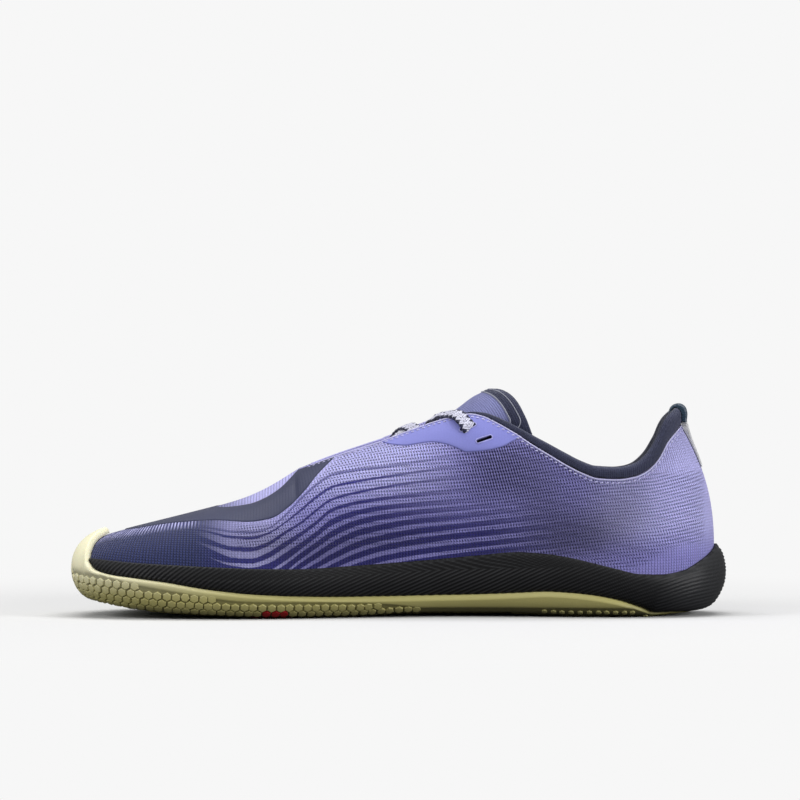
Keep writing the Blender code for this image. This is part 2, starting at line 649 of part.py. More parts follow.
PAD = 3.6                 # collar padding
COLLAR_END = 105.0        # how far forward the padded collar runs
COLLAR_REACH = 27.0       # how far its lining goes down inside


def collar_stations():
    full = np.concatenate([TAUS[TAUS > 1] - 2, TAUS[TAUS <= 1]])
    d = top_d(top_q(full))
    return full[d <= COLLAR_END]


def band_direction(tau):
    """Which way the padded band stands on the knit's edge, and the way out from the opening."""
    t, side = side_of(tau)
    q = top_q(tau)
    lean = np.radians(top_band_lean(q))
    here = rib_frame(tau)
    p1, top = here[3], here[6]
    away = (p1 - top)[:, :2]
    away /= np.linalg.norm(away, axis=1)[:, None]
    up = np.stack([-away[:, 0] * np.cos(lean), -away[:, 1] * np.cos(lean), np.sin(lean)], 1)
    outward = np.stack([away[:, 0] * np.sin(lean), away[:, 1] * np.sin(lean), np.cos(lean)], 1)
    return up, outward


def collar_sections(tau):
    """Closed section of the padded collar at each tau: up its outside, over the top and down the lining."""
    n = len(tau)
    q = top_q(tau)
    up, outward = band_direction(tau)
    top = last_point(tau, np.array([2.0]), 0.0)[:, 0]
    band = np.maximum(top_band(q), 1.9)[:, None]
    pad = PAD - 1.3 * ease((top_d(q) - 88) / 20)
    pad = pad[:, None]
    start = top + up * (GAP + 0.15)
    rows = [start + outward * 0.15]
    for h, o in ((0.34, 0.55), (0.62, 0.5), (0.84, -0.1), (0.96, -1.0), (1.0, -1.9), (0.95, -2.9), (0.82, -3.6)):
        scale = np.where(o < 0, pad / 3.6, 1.0)
        rows.append(top + up * (GAP + 0.15 + (band - 0.2) * h) + outward * (o * scale if o < 0 else o * np.minimum(band / 5, 1)))
    depth = COLLAR_REACH - 6 * ease((top_d(q) - 60) / 45)
    for f, thick in ((0.0, 1.0), (0.25, 1.0), (0.5, 0.92), (0.75, 0.75), (0.94, 0.5)):
        w = level_below_top(tau, depth * f + 0.6)
        rows.append(last_point(tau, w[:, None], -(KNIT + GAP + pad * thick + 0.0))[:, 0])
    for f in (1.0, 0.75, 0.5, 0.25, 0.0):
        w = level_below_top(tau, depth * f + 0.3)
        rows.append(last_point(tau, w[:, None], -(KNIT + GAP + 0.2))[:, 0])
    rows.append(last_point(tau, np.array([2.0]), -(KNIT + GAP + 0.15))[:, 0] + up * (GAP + 0.3))
    return np.stack(rows, 1)


def level_below_top(tau, reach):
    p = rib_point(rib_frame(tau), np.broadcast_to(_levels, (len(tau), len(_levels))))
    out = []
    for row, r in zip(p, np.broadcast_to(reach, (len(tau),))):
        run = np.concatenate([[0], np.cumsum(np.linalg.norm(np.diff(row, axis=0), axis=1))])
        out.append(np.interp(run[-1] - r, run, _levels))
    return np.array(out)


def make_collar():
    body = Body()
    tau = collar_stations()
    s = collar_sections(tau)
    loop = np.concatenate([s, s[:, :1]], 1)
    body.grid(loop)
    for end in (0, -1):
        cap(body, s[end])
    return body


def cap(body, loop):
    """Closes the end of a band with one flat face."""
    base = sum(len(q) for q in body.points)
    body.points.append(loop)
    body.faces.append(tuple(range(base, base + len(loop))))


# Tongue: one row per station from under the vamp to its top edge. d and z are its outer face in the
# middle, half its half-width, back and drop how far its edges lie behind and below the middle,
# power how flat the middle stays, thick its thickness.
TONGUE_COLUMNS = ("d", "z", "half", "back", "drop", "power", "thick")
TONGUE = (
    (192.0, 45.4, 10.0, 0.0, 2.0, 2.2, 1.6),
    (184.0, 49.6, 14.0, 0.5, 3.6, 2.4, 2.0),
    (176.0, 53.8, 18.0, 1.4, 6.4, 2.8, 2.6),
    (166.0, 59.0, 20.5, 2.4, 9.0, 3.0, 3.2),
    (154.0, 63.9, 22.0, 3.6, 11.0, 3.0, 3.6),
    (142.0, 68.3, 22.5, 5.0, 12.5, 3.0, 3.8),
    (130.0, 73.0, 22.5, 6.8, 14.0, 2.9, 4.0),
    (120.0, 78.2, 22.0, 8.8, 15.0, 2.8, 4.2),
    (111.0, 84.9, 21.0, 11.0, 15.8, 2.7, 4.4),
    (104.0, 90.0, 20.0, 13.2, 16.4, 2.8, 4.6),
    (99.5, 92.2, 18.8, 15.0, 16.8, 2.9, 4.2),
    (97.4, 92.5, 17.8, 16.0, 17.0, 3.0, 2.6),
)
TONGUE_ACROSS = 14
LACE_ROOM = 2.5           # between the knit's inside and the tongue, where the lace runs under the edge


def nearest_heights(samples, dy):
    """Height of a sampled surface at plan points, from its three nearest samples."""
    out = np.empty(len(dy))
    for i, p in enumerate(dy):
        gap = np.hypot(samples[:, 0] - p[0], samples[:, 1] - p[1])
        k = np.argpartition(gap, 3)[:3]
        weight = 1 / np.maximum(gap[k], 0.05)
        out[i] = np.where(gap[k].min() < 1.6, (samples[k, 2] * weight).sum() / weight.sum(), 999.0)
    return out


def inside_samples():
    """The surfaces that the tongue stays below: the inside of the knit and of the padded collar."""
    tau = np.concatenate([np.linspace(0.05, 0.95, 260), 2 - np.linspace(0.05, 0.95, 260)])
    w = np.linspace(1.35, 2.0, 46)
    d = top_d(top_q(tau))
    knit = last_point(tau, w, -(KNIT + LACE_ROOM))
    return knit[d > COLLAR_END - 6].reshape(-1, 3)


def collar_lining_samples():
    """The collar's inner face from its top edge down, with the side each sample is on."""
    low = collar_stations()
    tau = np.concatenate([np.linspace(low[0], -0.12, 90), np.linspace(0.12, low[-1], 90)])
    rows = collar_sections(tau)[:, 3:13]
    k = np.linspace(0, rows.shape[1] - 1, 60)
    i = np.minimum(k.astype(int), rows.shape[1] - 2)
    f = (k - i)[None, :, None]
    dense = rows[:, i] * (1 - f) + rows[:, i + 1] * f
    side = np.repeat(np.where(tau < 0, 1.0, -1.0), len(k))
    return dense.reshape(-1, 3), side


def inside_collar(points):
    """Moves points that lie in the padded collar or outside it to its inner face."""
    samples, sides = collar_lining_samples()
    flat = points.reshape(-1, 3)
    for p in flat:
        mid = float(midline_y(p[0]))
        side = -1.0 if p[1] < mid else 1.0
        mine = samples[sides == side]
        gap = np.hypot(mine[:, 0] - p[0], mine[:, 2] - p[2])
        near = gap < max(1.2, gap.min() + 0.6) if gap.min() < 2.2 else gap < 0
        if near.any():
            limit = np.abs(mine[near, 1] - mid).min() - GAP - 0.9
            p[1] = mid + side * min(abs(p[1] - mid), limit)
    return points


def tongue_faces():
    v = np.linspace(-1, 1, TONGUE_ACROSS + 1)
    v = np.sign(v) * np.abs(v) ** 0.9
    get = lambda name: column(TONGUE, TONGUE_COLUMNS, name)
    d, z, half, back, drop, power, thick = (get(c)[:, None] for c in TONGUE_COLUMNS)
    dd = d - back * np.abs(v)[None] ** (0.55 * power)
    zz = z - drop * np.abs(v)[None] ** power
    yy = midline_y(d) + half * v[None]
    outer = np.stack([dd, np.broadcast_to(yy, dd.shape), zz], 2)
    ceiling = nearest_heights(inside_samples(), outer.reshape(-1, 3)[:, :2]).reshape(dd.shape)
    outer[..., 2] = np.minimum(outer[..., 2], ceiling)
    outer = inside_collar(outer)
    du = np.gradient(outer, axis=0)
    dv = np.gradient(outer, axis=1)
    n = np.cross(dv, du)
    n /= np.linalg.norm(n, axis=2)[..., None]
    n *= np.sign(n[:, TONGUE_ACROSS // 2, 2])[:, None, None]
    taper = 1 - 0.62 * np.abs(v)[None, :] ** 4
    inner = outer - n * (thick * taper)[..., None]
    return outer, inner


def make_tongue():
    body = Body()
    outer, inner = tongue_faces()
    body.grid(outer)
    body.grid(inner)
    body.strip(outer[0], inner[0])
    body.strip(outer[-1], inner[-1])
    body.strip(outer[:, 0], inner[:, 0])
    body.strip(outer[:, -1], inner[:, -1])
    return body


LACE_WIDTH = 6.4
LACE_THICK = 1.3
TOP_BOW = 0.8             # the last crossing stands up off the tongue
# Station of each pair of eyelets, and how far down the eyestay from the throat edge it sits.
EYELET_COLUMNS = ("d", "down")
EYELETS = ((170.5, 1.2, 0), (157.5, 2.4, 0), (142.0, 2.6, 0), (126.0, 2.6, 0), (111.0, 7.6, 1))


def eyelet_at(row, side):
    """Point where a lace goes in: on the outside of the upper, or in the room under its edge."""
    d, down, over = row
    t = float(np.interp(_q_at_d(d), _pair_q, _fine))
    tau = np.array([t if side < 0 else 2 - t])
    w = level_below_top(tau, down)
    return last_point(tau, w[:, None], 0.0 if over else -(KNIT + LACE_ROOM + 0.05))[0, 0]


def deck_samples():
    tau = np.concatenate([np.linspace(0.2, 0.9, 220), 2 - np.linspace(0.2, 0.9, 220)])
    w = np.linspace(1.5, 2.0, 44)
    knit = last_point(tau, w, 0.0).reshape(-1, 3)
    outer = tongue_faces()[0]
    u = np.linspace(0, 1, 90)
    rows = np.linspace(0, outer.shape[0] - 1, 100)
    cols = np.linspace(0, outer.shape[1] - 1, 70)
    i0, j0 = np.minimum(rows.astype(int), outer.shape[0] - 2), np.minimum(cols.astype(int), outer.shape[1] - 2)
    a, b = (rows - i0)[:, None, None], (cols - j0)[None, :, None]
    dense = ((1 - a) * (1 - b) * outer[i0][:, j0] + a * (1 - b) * outer[i0 + 1][:, j0]
             + (1 - a) * b * outer[i0][:, j0 + 1] + a * b * outer[i0 + 1][:, j0 + 1])
    return knit, dense.reshape(-1, 3)


def hull_over(s, z):
    """Taut line over the heights z at the runs s."""
    keep = []
    for i in range(len(s)):
        while len(keep) > 1:
            a, b = keep[-2], keep[-1]
            if (z[b] - z[a]) * (s[i] - s[a]) <= (z[i] - z[a]) * (s[b] - s[a]):
                keep.pop()
            else:
                break
        keep.append(i)
    return np.interp(s, s[keep], z[keep])


def strand(a, b, over_a, over_b, knit, dense, lift, stations=13):
    """Centre line of one strand between two eyelets, its side directions and its normals."""
    f = np.linspace(0, 1, stations)
    plan = a[None, :2] * (1 - f)[:, None] + b[None, :2] * f[:, None]
    run = f * np.linalg.norm(b[:2] - a[:2])
    along = (b[:2] - a[:2]) / np.linalg.norm(b[:2] - a[:2])
    across = np.array([-along[1], along[0]])
    tops = []
    for off in (-LACE_WIDTH / 2, 0, LACE_WIDTH / 2):
        p = plan + across * off
        k, t = nearest_heights(knit, p), nearest_heights(dense, p)
        k = np.where((k > 900) | ~np.where(f < 0.5, over_a, over_b).astype(bool), -999, k)
        t = np.where(t > 900, -999, t)
        tops.append(np.maximum(k, t))
    tops = np.array(tops)
    bad = tops.max(0) < -900
    rise = np.where(bad, np.nan, tops.max(0))
    good = ~np.isnan(rise)
    rise = np.interp(run, run[good], rise[good])
    z = hull_over(run, rise) + lift * np.sin(np.pi * f) ** 2
    slope = np.gradient(z, run)
    steep = np.sqrt(1 + slope ** 2)
    stand = LACE_THICK / 2 + 0.4 + 1.1 * np.abs(2 * f - 1) ** 3 * np.where(f < 0.5, over_a, over_b)
    centre = np.column_stack([plan + along * (-slope / steep * stand)[:, None], z + stand / steep])
    tilt = np.where((tops[0] > -900) & (tops[2] > -900), (tops[2] - tops[0]) / LACE_WIDTH, np.nan)
    ok = ~np.isnan(tilt)
    tilt = np.interp(run, run[ok], tilt[ok]) if ok.any() else run * 0
    tilt = np.convolve(np.pad(tilt, 2, mode="edge"), np.ones(5) / 5, "valid")
    tangent = np.gradient(centre, axis=0)
    tangent /= np.linalg.norm(tangent, axis=1)[:, None]
    side = np.column_stack([np.tile(across, (stations, 1)), tilt])
    side -= tangent * (side * tangent).sum(1)[:, None]
    side /= np.linalg.norm(side, axis=1)[:, None]
    normal = np.cross(tangent, side)
    normal *= np.sign(normal[:, 2])[:, None]
    return centre, side, normal


def ribbon(body, centre, side, normal):
    w, t = LACE_WIDTH / 2, LACE_THICK / 2
    ring = []
    for a, b in ((-1, 0), (-0.8, 1), (0.8, 1), (1, 0), (0.8, -1), (-0.8, -1)):
        ring.append(centre + side * a * w + normal * b * t)
    ring = np.stack(ring, 1)
    body.grid(np.concatenate([ring, ring[:, :1]], 1))
    for end in (0, -1):
        cap(body, ring[end])


def lace_runs():
    """Pairs of eyelets that the lace joins: a bar at the toe end, then crossings."""
    runs = [((0, -1), (0, 1), 0.0)]
    for i in range(len(EYELETS) - 1):
        under, over = ((i, -1), (i + 1, 1)), ((i, 1), (i + 1, -1))
        bow = TOP_BOW if i == len(EYELETS) - 2 else 0.0
        runs.append((*under, 0.5 + bow))
        runs.append((*over, 0.5 + bow + LACE_THICK))
    return runs


def make_laces():
    knit, dense = deck_samples()
    pieces = []
    for i, (a, b, lift) in enumerate(lace_runs()):
        pa, pb = eyelet_at(EYELETS[a[0]], a[1]), eyelet_at(EYELETS[b[0]], b[1])
        body = Body()
        over = EYELETS[a[0]][2], EYELETS[b[0]][2]
        ribbon(body, *strand(pa, pb, *over, knit, dense, lift))
        pieces.append(body)
    return pieces




def make_heel_tab():
    """Folded wrap over the top of the collar at the back."""
    body = Body()
    tau = TAUS_near_heel(0.030, 5)
    up, outward = band_direction(tau)
    top = last_point(tau, np.array([2.0]), 0.0)[:, 0]
    band = top_band(top_q(tau))[:, None]
    inner, outer = [], []
    for h, o in ((0.30, 0.55), (0.62, 0.5), (0.84, -0.1), (0.96, -1.0), (1.0, -1.9), (0.95, -2.9), (0.82, -3.6), (0.4, -4.0)):
        base = top + up * (GAP + 0.15 + (band - 0.2) * h) + outward * o
        middle = top + up * band * 0.45 - outward * 1.6
        away = base - middle
        away /= np.linalg.norm(away, axis=1)[:, None]
        inner.append(base + away * GAP)
        outer.append(base + away * (GAP + 0.8))
    closed_sheet(body, np.stack(outer, 1), np.stack(inner, 1))
    return body


def TAUS_near_heel(half, steps):
    return np.linspace(-half, half, steps)


def closed_sheet(body, outer, inner):
    body.grid(outer)
    body.grid(inner)
    body.strip(outer[0], inner[0])
    body.strip(outer[-1], inner[-1])
    body.strip(outer[:, 0], inner[:, 0])
    body.strip(outer[:, -1], inner[:, -1])


def make_heel_strip():
    """Tape down the back seam, proud at the top and flush lower down."""
    body = Body()
    tau = TAUS_near_heel(0.014, 3)
    hi = level_below_top(tau, 1.0)
    lo = level_below_top(tau, 19.0)
    w = hi[:, None] + (lo - hi)[:, None] * np.linspace(0, 1, 5)
    thick = np.array([1.4, 1.15, 0.9, 0.65, 0.4])[None]
    closed_sheet(body, last_point(tau, w, GAP + thick), last_point(tau, w, GAP))
    return body


def join_pieces(objects):
    """Fuses closed solids into the first of them."""
    first = objects[0]
    for other in objects[1:]:
        mod = first.modifiers.new("join", "BOOLEAN")
        mod.operation = "UNION"
        mod.solver = "EXACT"
        mod.object = other
        bpy.context.view_layer.update()
        shape = bpy.context.evaluated_depsgraph_get()
        fused = bpy.data.meshes.new_from_object(first.evaluated_get(shape))
        first.modifiers.clear()
        old = first.data
        first.data = fused
        bpy.data.meshes.remove(old)
    for other in objects[1:]:
        home = other.users_collection[0]
        bpy.data.objects.remove(other)
        bpy.data.collections.remove(home)
    return first


def main():
    for obj in list(bpy.data.objects):
        bpy.data.objects.remove(obj)
    make_outsole().make("outsole", (0.52, 0.48, 0.20), 0.6)
    make_upper().make("upper", (0.43, 0.42, 0.80), 0.9)
    make_tongue().make("tongue", (0.43, 0.42, 0.80), 0.9)
    make_insole().make("insole", (0.05, 0.05, 0.07), 0.9)
    make_rand().make("rand", (0.02, 0.02, 0.025), 0.5)
    make_collar().make("collar", (0.03, 0.04, 0.08), 0.9)
    strands = [b.make("laces" if i == 0 else "strand_%d" % i, (0.50, 0.50, 0.80), 0.8)
               for i, b in enumerate(make_laces())]
    join_pieces(strands)
    make_heel_tab().make("heel_tab", (0.02, 0.04, 0.07), 0.8)
    make_heel_strip().make("heel_strip", (0.6, 0.6, 0.62), 0.8)
    shift()


def shift():
    """Puts the middle of the box over the origin and its lowest point on the floor."""
    objs = [o for o in bpy.data.objects if o.type == "MESH"]
    pts = np.array([v.co[:] for o in objs for v in o.data.vertices])
    lo, hi = pts.min(0), pts.max(0)
    move = np.array([-(lo[0] + hi[0]) / 2, -(lo[1] + hi[1]) / 2, -lo[2]])
    print("box", np.round((hi - lo) * 1000, 2), "moved", np.round(move * 1000, 3))
    for o in objs:
        for v in o.data.vertices:
            v.co = [a + b for a, b in zip(v.co[:], move)]
    return move


main()
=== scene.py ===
"""Looks of a barefoot shoe for the right foot: knitted upper with wave lines, film bands, ribbed rand,
hexagonal tread, braided lace, padded collar and tongue. Toe towards -X, outer side towards +Y.
"""
import json
import math

import bmesh
import bpy
import numpy as np
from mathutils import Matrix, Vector

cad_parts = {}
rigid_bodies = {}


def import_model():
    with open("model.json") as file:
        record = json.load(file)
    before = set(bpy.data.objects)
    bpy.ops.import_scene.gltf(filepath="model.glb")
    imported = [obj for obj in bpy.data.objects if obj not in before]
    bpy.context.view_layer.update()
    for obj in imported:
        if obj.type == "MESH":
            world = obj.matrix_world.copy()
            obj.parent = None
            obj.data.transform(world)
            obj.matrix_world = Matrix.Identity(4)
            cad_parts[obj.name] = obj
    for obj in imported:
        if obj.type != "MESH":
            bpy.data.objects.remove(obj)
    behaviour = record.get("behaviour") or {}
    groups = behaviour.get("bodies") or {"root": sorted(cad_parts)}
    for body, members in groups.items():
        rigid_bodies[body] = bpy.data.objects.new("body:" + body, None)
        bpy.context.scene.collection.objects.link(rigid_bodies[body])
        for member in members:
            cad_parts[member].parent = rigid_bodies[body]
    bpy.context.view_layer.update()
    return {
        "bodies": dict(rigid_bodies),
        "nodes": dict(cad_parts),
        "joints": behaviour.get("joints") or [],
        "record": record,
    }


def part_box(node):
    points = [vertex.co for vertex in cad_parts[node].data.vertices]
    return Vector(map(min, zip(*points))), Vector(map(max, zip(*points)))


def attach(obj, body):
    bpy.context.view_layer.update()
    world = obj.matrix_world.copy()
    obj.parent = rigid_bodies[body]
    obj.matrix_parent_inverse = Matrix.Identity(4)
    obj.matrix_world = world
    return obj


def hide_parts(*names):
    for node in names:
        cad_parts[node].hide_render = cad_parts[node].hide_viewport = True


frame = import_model()



MM = 0.001

# ---------------------------------------------------------------- sizes, in millimetres
# d runs forward from the back of the heel rand, y is negative on the big-toe (medial) side,
# z is up from the floor. The shoe is for the right foot.
LENGTH = 270.0            # heel rand to toe bumper
GAP = 0.3                 # clearance left between two pieces that are glued or sewn in the real shoe
SLAB = 4.0                # outsole thickness under the foot
KNIT = 1.6                # wall of the knitted upper
ARCH_LIFT = 1.2           # how far the tread clears the floor under the arch

# Last outline and side shape, one row per section from heel to toe.
# d station, med and lat the half-widths of the upper, rise the height of the widest line over the
# sole, inset how far the rounded feather edge turns under, full_m and full_l how boxy each flank is.
SECTION_COLUMNS = ("d", "med", "lat", "rise", "inset_m", "inset_l", "full_m", "full_l")
SECTIONS = (
    (5.7, 0.0, 0.0, 22.0, 10.0, 10.0, 0.39, 0.39),
    (8.1, -11.5, 11.5, 21.5, 10.0, 10.0, 0.40, 0.40),
    (14.0, -20.5, 20.3, 20.5, 9.5, 9.5, 0.42, 0.42),
    (24.0, -27.0, 27.0, 19.0, 9.0, 9.0, 0.42, 0.42),
    (40.0, -31.2, 31.5, 17.5, 8.5, 8.0, 0.42, 0.42),
    (60.0, -31.0, 33.0, 16.5, 9.0, 7.5, 0.42, 0.42),
    (80.0, -28.6, 34.6, 16.0, 10.0, 7.0, 0.42, 0.42),
    (100.0, -26.6, 36.8, 15.5, 10.5, 7.0, 0.43, 0.43),
    (120.0, -26.6, 39.6, 15.0, 10.0, 7.0, 0.44, 0.44),
    (140.0, -29.4, 42.8, 14.0, 9.0, 6.5, 0.46, 0.44),
    (160.0, -34.4, 46.0, 13.0, 7.5, 6.5, 0.49, 0.45),
    (180.0, -39.6, 48.6, 12.2, 6.5, 6.5, 0.52, 0.46),
    (200.0, -42.8, 49.0, 11.5, 6.5, 6.5, 0.55, 0.48),
    (218.0, -43.0, 46.0, 11.0, 6.5, 6.5, 0.57, 0.51),
    (234.0, -41.4, 39.2, 10.5, 6.5, 7.0, 0.58, 0.54),
    (247.0, -38.0, 30.0, 10.0, 7.0, 7.5, 0.58, 0.56),
    (257.0, -32.6, 19.0, 9.8, 7.5, 8.0, 0.58, 0.57),
    (263.6, -25.6, 6.0, 9.6, 8.0, 8.5, 0.58, 0.58),
    (266.8, -14.5, -14.5, 9.5, 8.5, 8.5, 0.58, 0.58),
)

# Top line of the knit from the heel, round the collar, down the throat and along the vamp ridge.
# half is half the opening, lean the slope of the wall there (90 is upright), band and band_lean
# the height and slope of the padded collar above it.
TOP_COLUMNS = ("d", "half", "z", "lean", "band", "band_lean")
TOPLINE = (
    (19.4, 0.0, 77.8, 62.0, 7.4, 92.0),
    (20.0, 4.6, 77.2, 62.0, 7.6, 92.0),
    (22.0, 8.8, 74.9, 65.0, 8.4, 90.0),
    (25.2, 13.0, 71.2, 69.0, 8.8, 88.0),
    (28.5, 16.5, 65.2, 74.0, 8.2, 87.0),
    (33.1, 20.0, 60.2, 80.0, 6.4, 86.0),
    (39.0, 22.9, 57.3, 84.0, 5.2, 86.0),
    (46.2, 25.0, 56.3, 86.0, 4.9, 87.0),
    (54.0, 26.2, 56.7, 86.0, 4.9, 87.0),
    (60.5, 26.4, 58.9, 84.0, 4.8, 85.0),
    (67.2, 26.0, 62.3, 80.0, 4.9, 82.0),
    (74.8, 25.2, 66.8, 74.0, 4.8, 78.0),
    (81.0, 24.3, 70.5, 69.0, 4.6, 74.0),
    (87.3, 23.2, 74.6, 64.0, 3.9, 70.0),
    (92.5, 22.2, 77.6, 60.0, 3.5, 66.0),
    (97.0, 21.3, 80.0, 56.0, 3.0, 62.0),
    (101.5, 20.5, 82.0, 53.0, 2.2, 58.0),
    (106.5, 19.7, 82.9, 50.0, 1.4, 54.0),
    (112.0, 18.9, 82.0, 47.0, 0.9, 50.0),
    (120.0, 17.8, 79.9, 44.0, 0.8, 46.0),
    (130.0, 16.6, 76.4, 41.0, 0.8, 42.0),
    (140.0, 15.3, 72.6, 37.0, 0.8, 38.0),
    (150.0, 13.9, 69.3, 33.0, 0.8, 34.0),
    (160.0, 12.2, 66.0, 28.0, 0.8, 30.0),
    (168.0, 10.3, 63.1, 23.0, 0.8, 24.0),
    (174.0, 7.4, 60.8, 15.0, 0.8, 16.0),
    (177.6, 3.9, 59.4, 7.0, 0.8, 8.0),
    (178.8, 0.0, 58.8, 0.0, 0.8, 0.0),
    (185.4, 0.0, 54.7, 0.0, 0.8, 0.0),
    (192.0, 0.0, 51.1, 0.0, 0.8, 0.0),
    (199.0, 0.0, 48.1, 0.0, 0.8, 0.0),
    (208.0, 0.0, 45.3, 0.0, 0.8, 0.0),
    (220.0, 0.0, 42.2, 0.0, 0.8, 0.0),
    (235.0, 0.0, 38.5, 0.0, 0.8, 0.0),
    (246.0, 0.0, 35.8, 0.0, 0.8, 0.0),
    (251.5, 0.0, 34.4, 0.0, 0.8, 0.0),
)
LATERAL_DROP = 1.6        # the outer ankle's dip sits this much lower
THROAT_D = 178.8          # foot of the lacing slit

# Which point of the top line each outline station runs up to.
RIB_PAIRS = ((5.5, 19.4), (14.0, 24.0), (24.0, 30.5), (40.0, 43.0), (60.0, 60.5), (80.0, 81.0),
             (106.0, 106.5), (140.0, 140.0), (178.0, 178.8), (205.0, 205.0), (232.0, 229.0),
             (250.0, 241.0), (260.0, 247.0), (266.8, 251.5))

# Middle of the opening and of the vamp ridge.
MIDLINE_COLUMNS = ("d", "y")
MIDLINE = ((15.0, 0.0), (60.0, 0.6), (106.0, -1.2), (150.0, -2.8), (178.8, -4.0), (205.0, -6.6),
           (230.0, -9.6), (251.5, -12.6), (262.0, -13.6))

# Height of the foot bed over its lowest level: heel roll and toe spring.
SPRING_COLUMNS = ("d", "z")
SPRING = ((5.0, 4.2), (10.0, 3.0), (16.0, 1.8), (24.0, 0.6), (32.0, 0.0), (100.0, 0.0), (188.0, 0.0),
          (204.0, 0.5), (220.0, 1.3), (236.0, 2.5), (248.0, 4.1), (258.0, 6.2), (266.0, 8.5))

# Heights of the two lines round the shoe: top of the outsole wall and top of the rand.
LINE_COLUMNS = ("d", "out_m", "out_l", "rand_m", "rand_l")
LINES = (
    (5.5, 2.7, 2.7, 29.2, 29.2),
    (7.2, 2.6, 2.6, 26.8, 26.8),
    (11.6, 2.6, 2.6, 23.4, 23.4),
    (19.7, 3.3, 3.3, 19.1, 19.1),
    (28.7, 4.2, 4.3, 17.7, 17.7),
    (37.4, 6.0, 5.9, 18.0, 18.0),
    (46.9, 8.3, 7.5, 20.1, 19.6),
    (56.3, 9.8, 8.4, 22.4, 21.2),
    (65.8, 10.7, 9.0, 24.6, 22.6),
    (75.2, 11.1, 9.4, 26.1, 23.6),
    (87.0, 10.6, 9.4, 26.8, 24.1),
    (102.7, 10.0, 9.3, 25.5, 23.7),
    (121.7, 9.6, 9.2, 23.7, 22.8),
    (140.6, 9.3, 9.1, 22.3, 21.9),
    (159.5, 9.2, 9.0, 21.1, 21.0),
    (176.4, 9.5, 9.4, 20.3, 20.3),
    (193.2, 10.3, 10.3, 20.5, 20.5),
    (212.1, 12.2, 12.3, 21.2, 21.2),
    (231.0, 15.2, 15.3, 22.1, 22.1),
    (243.6, 16.8, 16.9, 22.7, 22.7),
    (253.0, 18.0, 18.1, 23.4, 23.4),
    (259.0, 19.8, 19.9, 23.9, 23.9),
    (262.0, 22.6, 22.8, 24.1, 24.1),
    (267.0, 23.2, 23.2, 24.4, 24.4),
)

# Wall of the rand and of the outsole's side, by station.
WALL_COLUMNS = ("d", "rand", "out")
WALLS = ((5.7, 6.4, 5.0), (12.0, 5.5, 4.8), (24.0, 3.9, 4.0), (38.0, 2.8, 3.2), (60.0, 2.2, 2.7),
         (100.0, 2.0, 2.6), (180.0, 1.8, 2.4), (240.0, 1.6, 2.5), (258.0, 1.3, 2.8), (266.8, 1.2, 3.0))

BUMPER_MED = -28.0        # the toe bumper's two lower corners, as y on the outline
BUMPER_LAT = 8.5
BUMPER_HIGH = 20.0        # how far up the toe it reaches, measured along the upper from its widest line


def column(table, names, name):
    return np.array([row[names.index(name)] for row in table], float)


def loop_spline(x, y, period):
    """Smooth closed curve through the points, as a function of x."""
    x, y, n = np.asarray(x, float), np.asarray(y, float), len(x)
    h = np.diff(np.append(x, x[0] + period))
    a, r = np.zeros((n, n)), np.zeros(n)
    for i in range(n):
        before, after, nxt = h[i - 1], h[i], (i + 1) % n
        a[i, i - 1] += before
        a[i, i] += 2 * (before + after)
        a[i, nxt] += after
        r[i] = 6 * ((y[nxt] - y[i]) / after - (y[i] - y[i - 1]) / before)
    m = np.linalg.solve(a, r)

    def f(q):
        q = np.mod(np.asarray(q, float) - x[0], period) + x[0]
        i = np.clip(np.searchsorted(x, q, side="right") - 1, 0, n - 1)
        j, t = (i + 1) % n, (q - x[i]) / h[i]
        s = 1 - t
        return s * y[i] + t * y[j] + ((s ** 3 - s) * m[i] + (t ** 3 - t) * m[j]) * h[i] ** 2 / 6
    return f


def steady(x, y):
    """Curve through the points that never overshoots them."""
    x, y = np.asarray(x, float), np.asarray(y, float)
    h = np.diff(x)
    s = np.diff(y) / h
    m = np.concatenate([[s[0]], np.zeros(len(x) - 2), [s[-1]]])
    for i in range(1, len(x) - 1):
        if s[i - 1] * s[i] > 0:
            w1, w2 = 2 * h[i] + h[i - 1], h[i] + 2 * h[i - 1]
            m[i] = (w1 + w2) / (w1 / s[i - 1] + w2 / s[i])

    def f(q):
        q = np.clip(np.asarray(q, float), x[0], x[-1])
        i = np.clip(np.searchsorted(x, q, side="right") - 1, 0, len(x) - 2)
        t = (q - x[i]) / h[i]
        return ((2 * t ** 3 - 3 * t ** 2 + 1) * y[i] + (t ** 3 - 2 * t ** 2 + t) * h[i] * m[i]
                + (3 * t ** 2 - 2 * t ** 3) * y[i + 1] + (t ** 3 - t ** 2) * h[i] * m[i + 1])
    return f


def by_d(table, names, name):
    return steady(column(table, names, names[0]), column(table, names, name))


def ease(t):
    t = np.clip(t, 0.0, 1.0)
    return t * t * (3 - 2 * t)


# ---------------------------------------------------------------- the last
# tau runs round the outline: 0 heel, up to 1 along the medial side, 1 toe, back to 2 along the lateral side.
_sd = column(SECTIONS, SECTION_COLUMNS, "d")
_sm = column(SECTIONS, SECTION_COLUMNS, "med")
_sl = column(SECTIONS, SECTION_COLUMNS, "lat")
_chord = (np.hypot(np.diff(_sd), np.diff(_sm)) + np.hypot(np.diff(_sd), np.diff(_sl))) / 2
SECTION_TAU = np.concatenate([[0], np.cumsum(_chord)]) / _chord.sum()
_loop_tau = np.concatenate([SECTION_TAU, 2 - SECTION_TAU[-2:0:-1]])


def _round_loop(medial, lateral):
    return loop_spline(_loop_tau, np.concatenate([medial, lateral[-2:0:-1]]), 2.0)


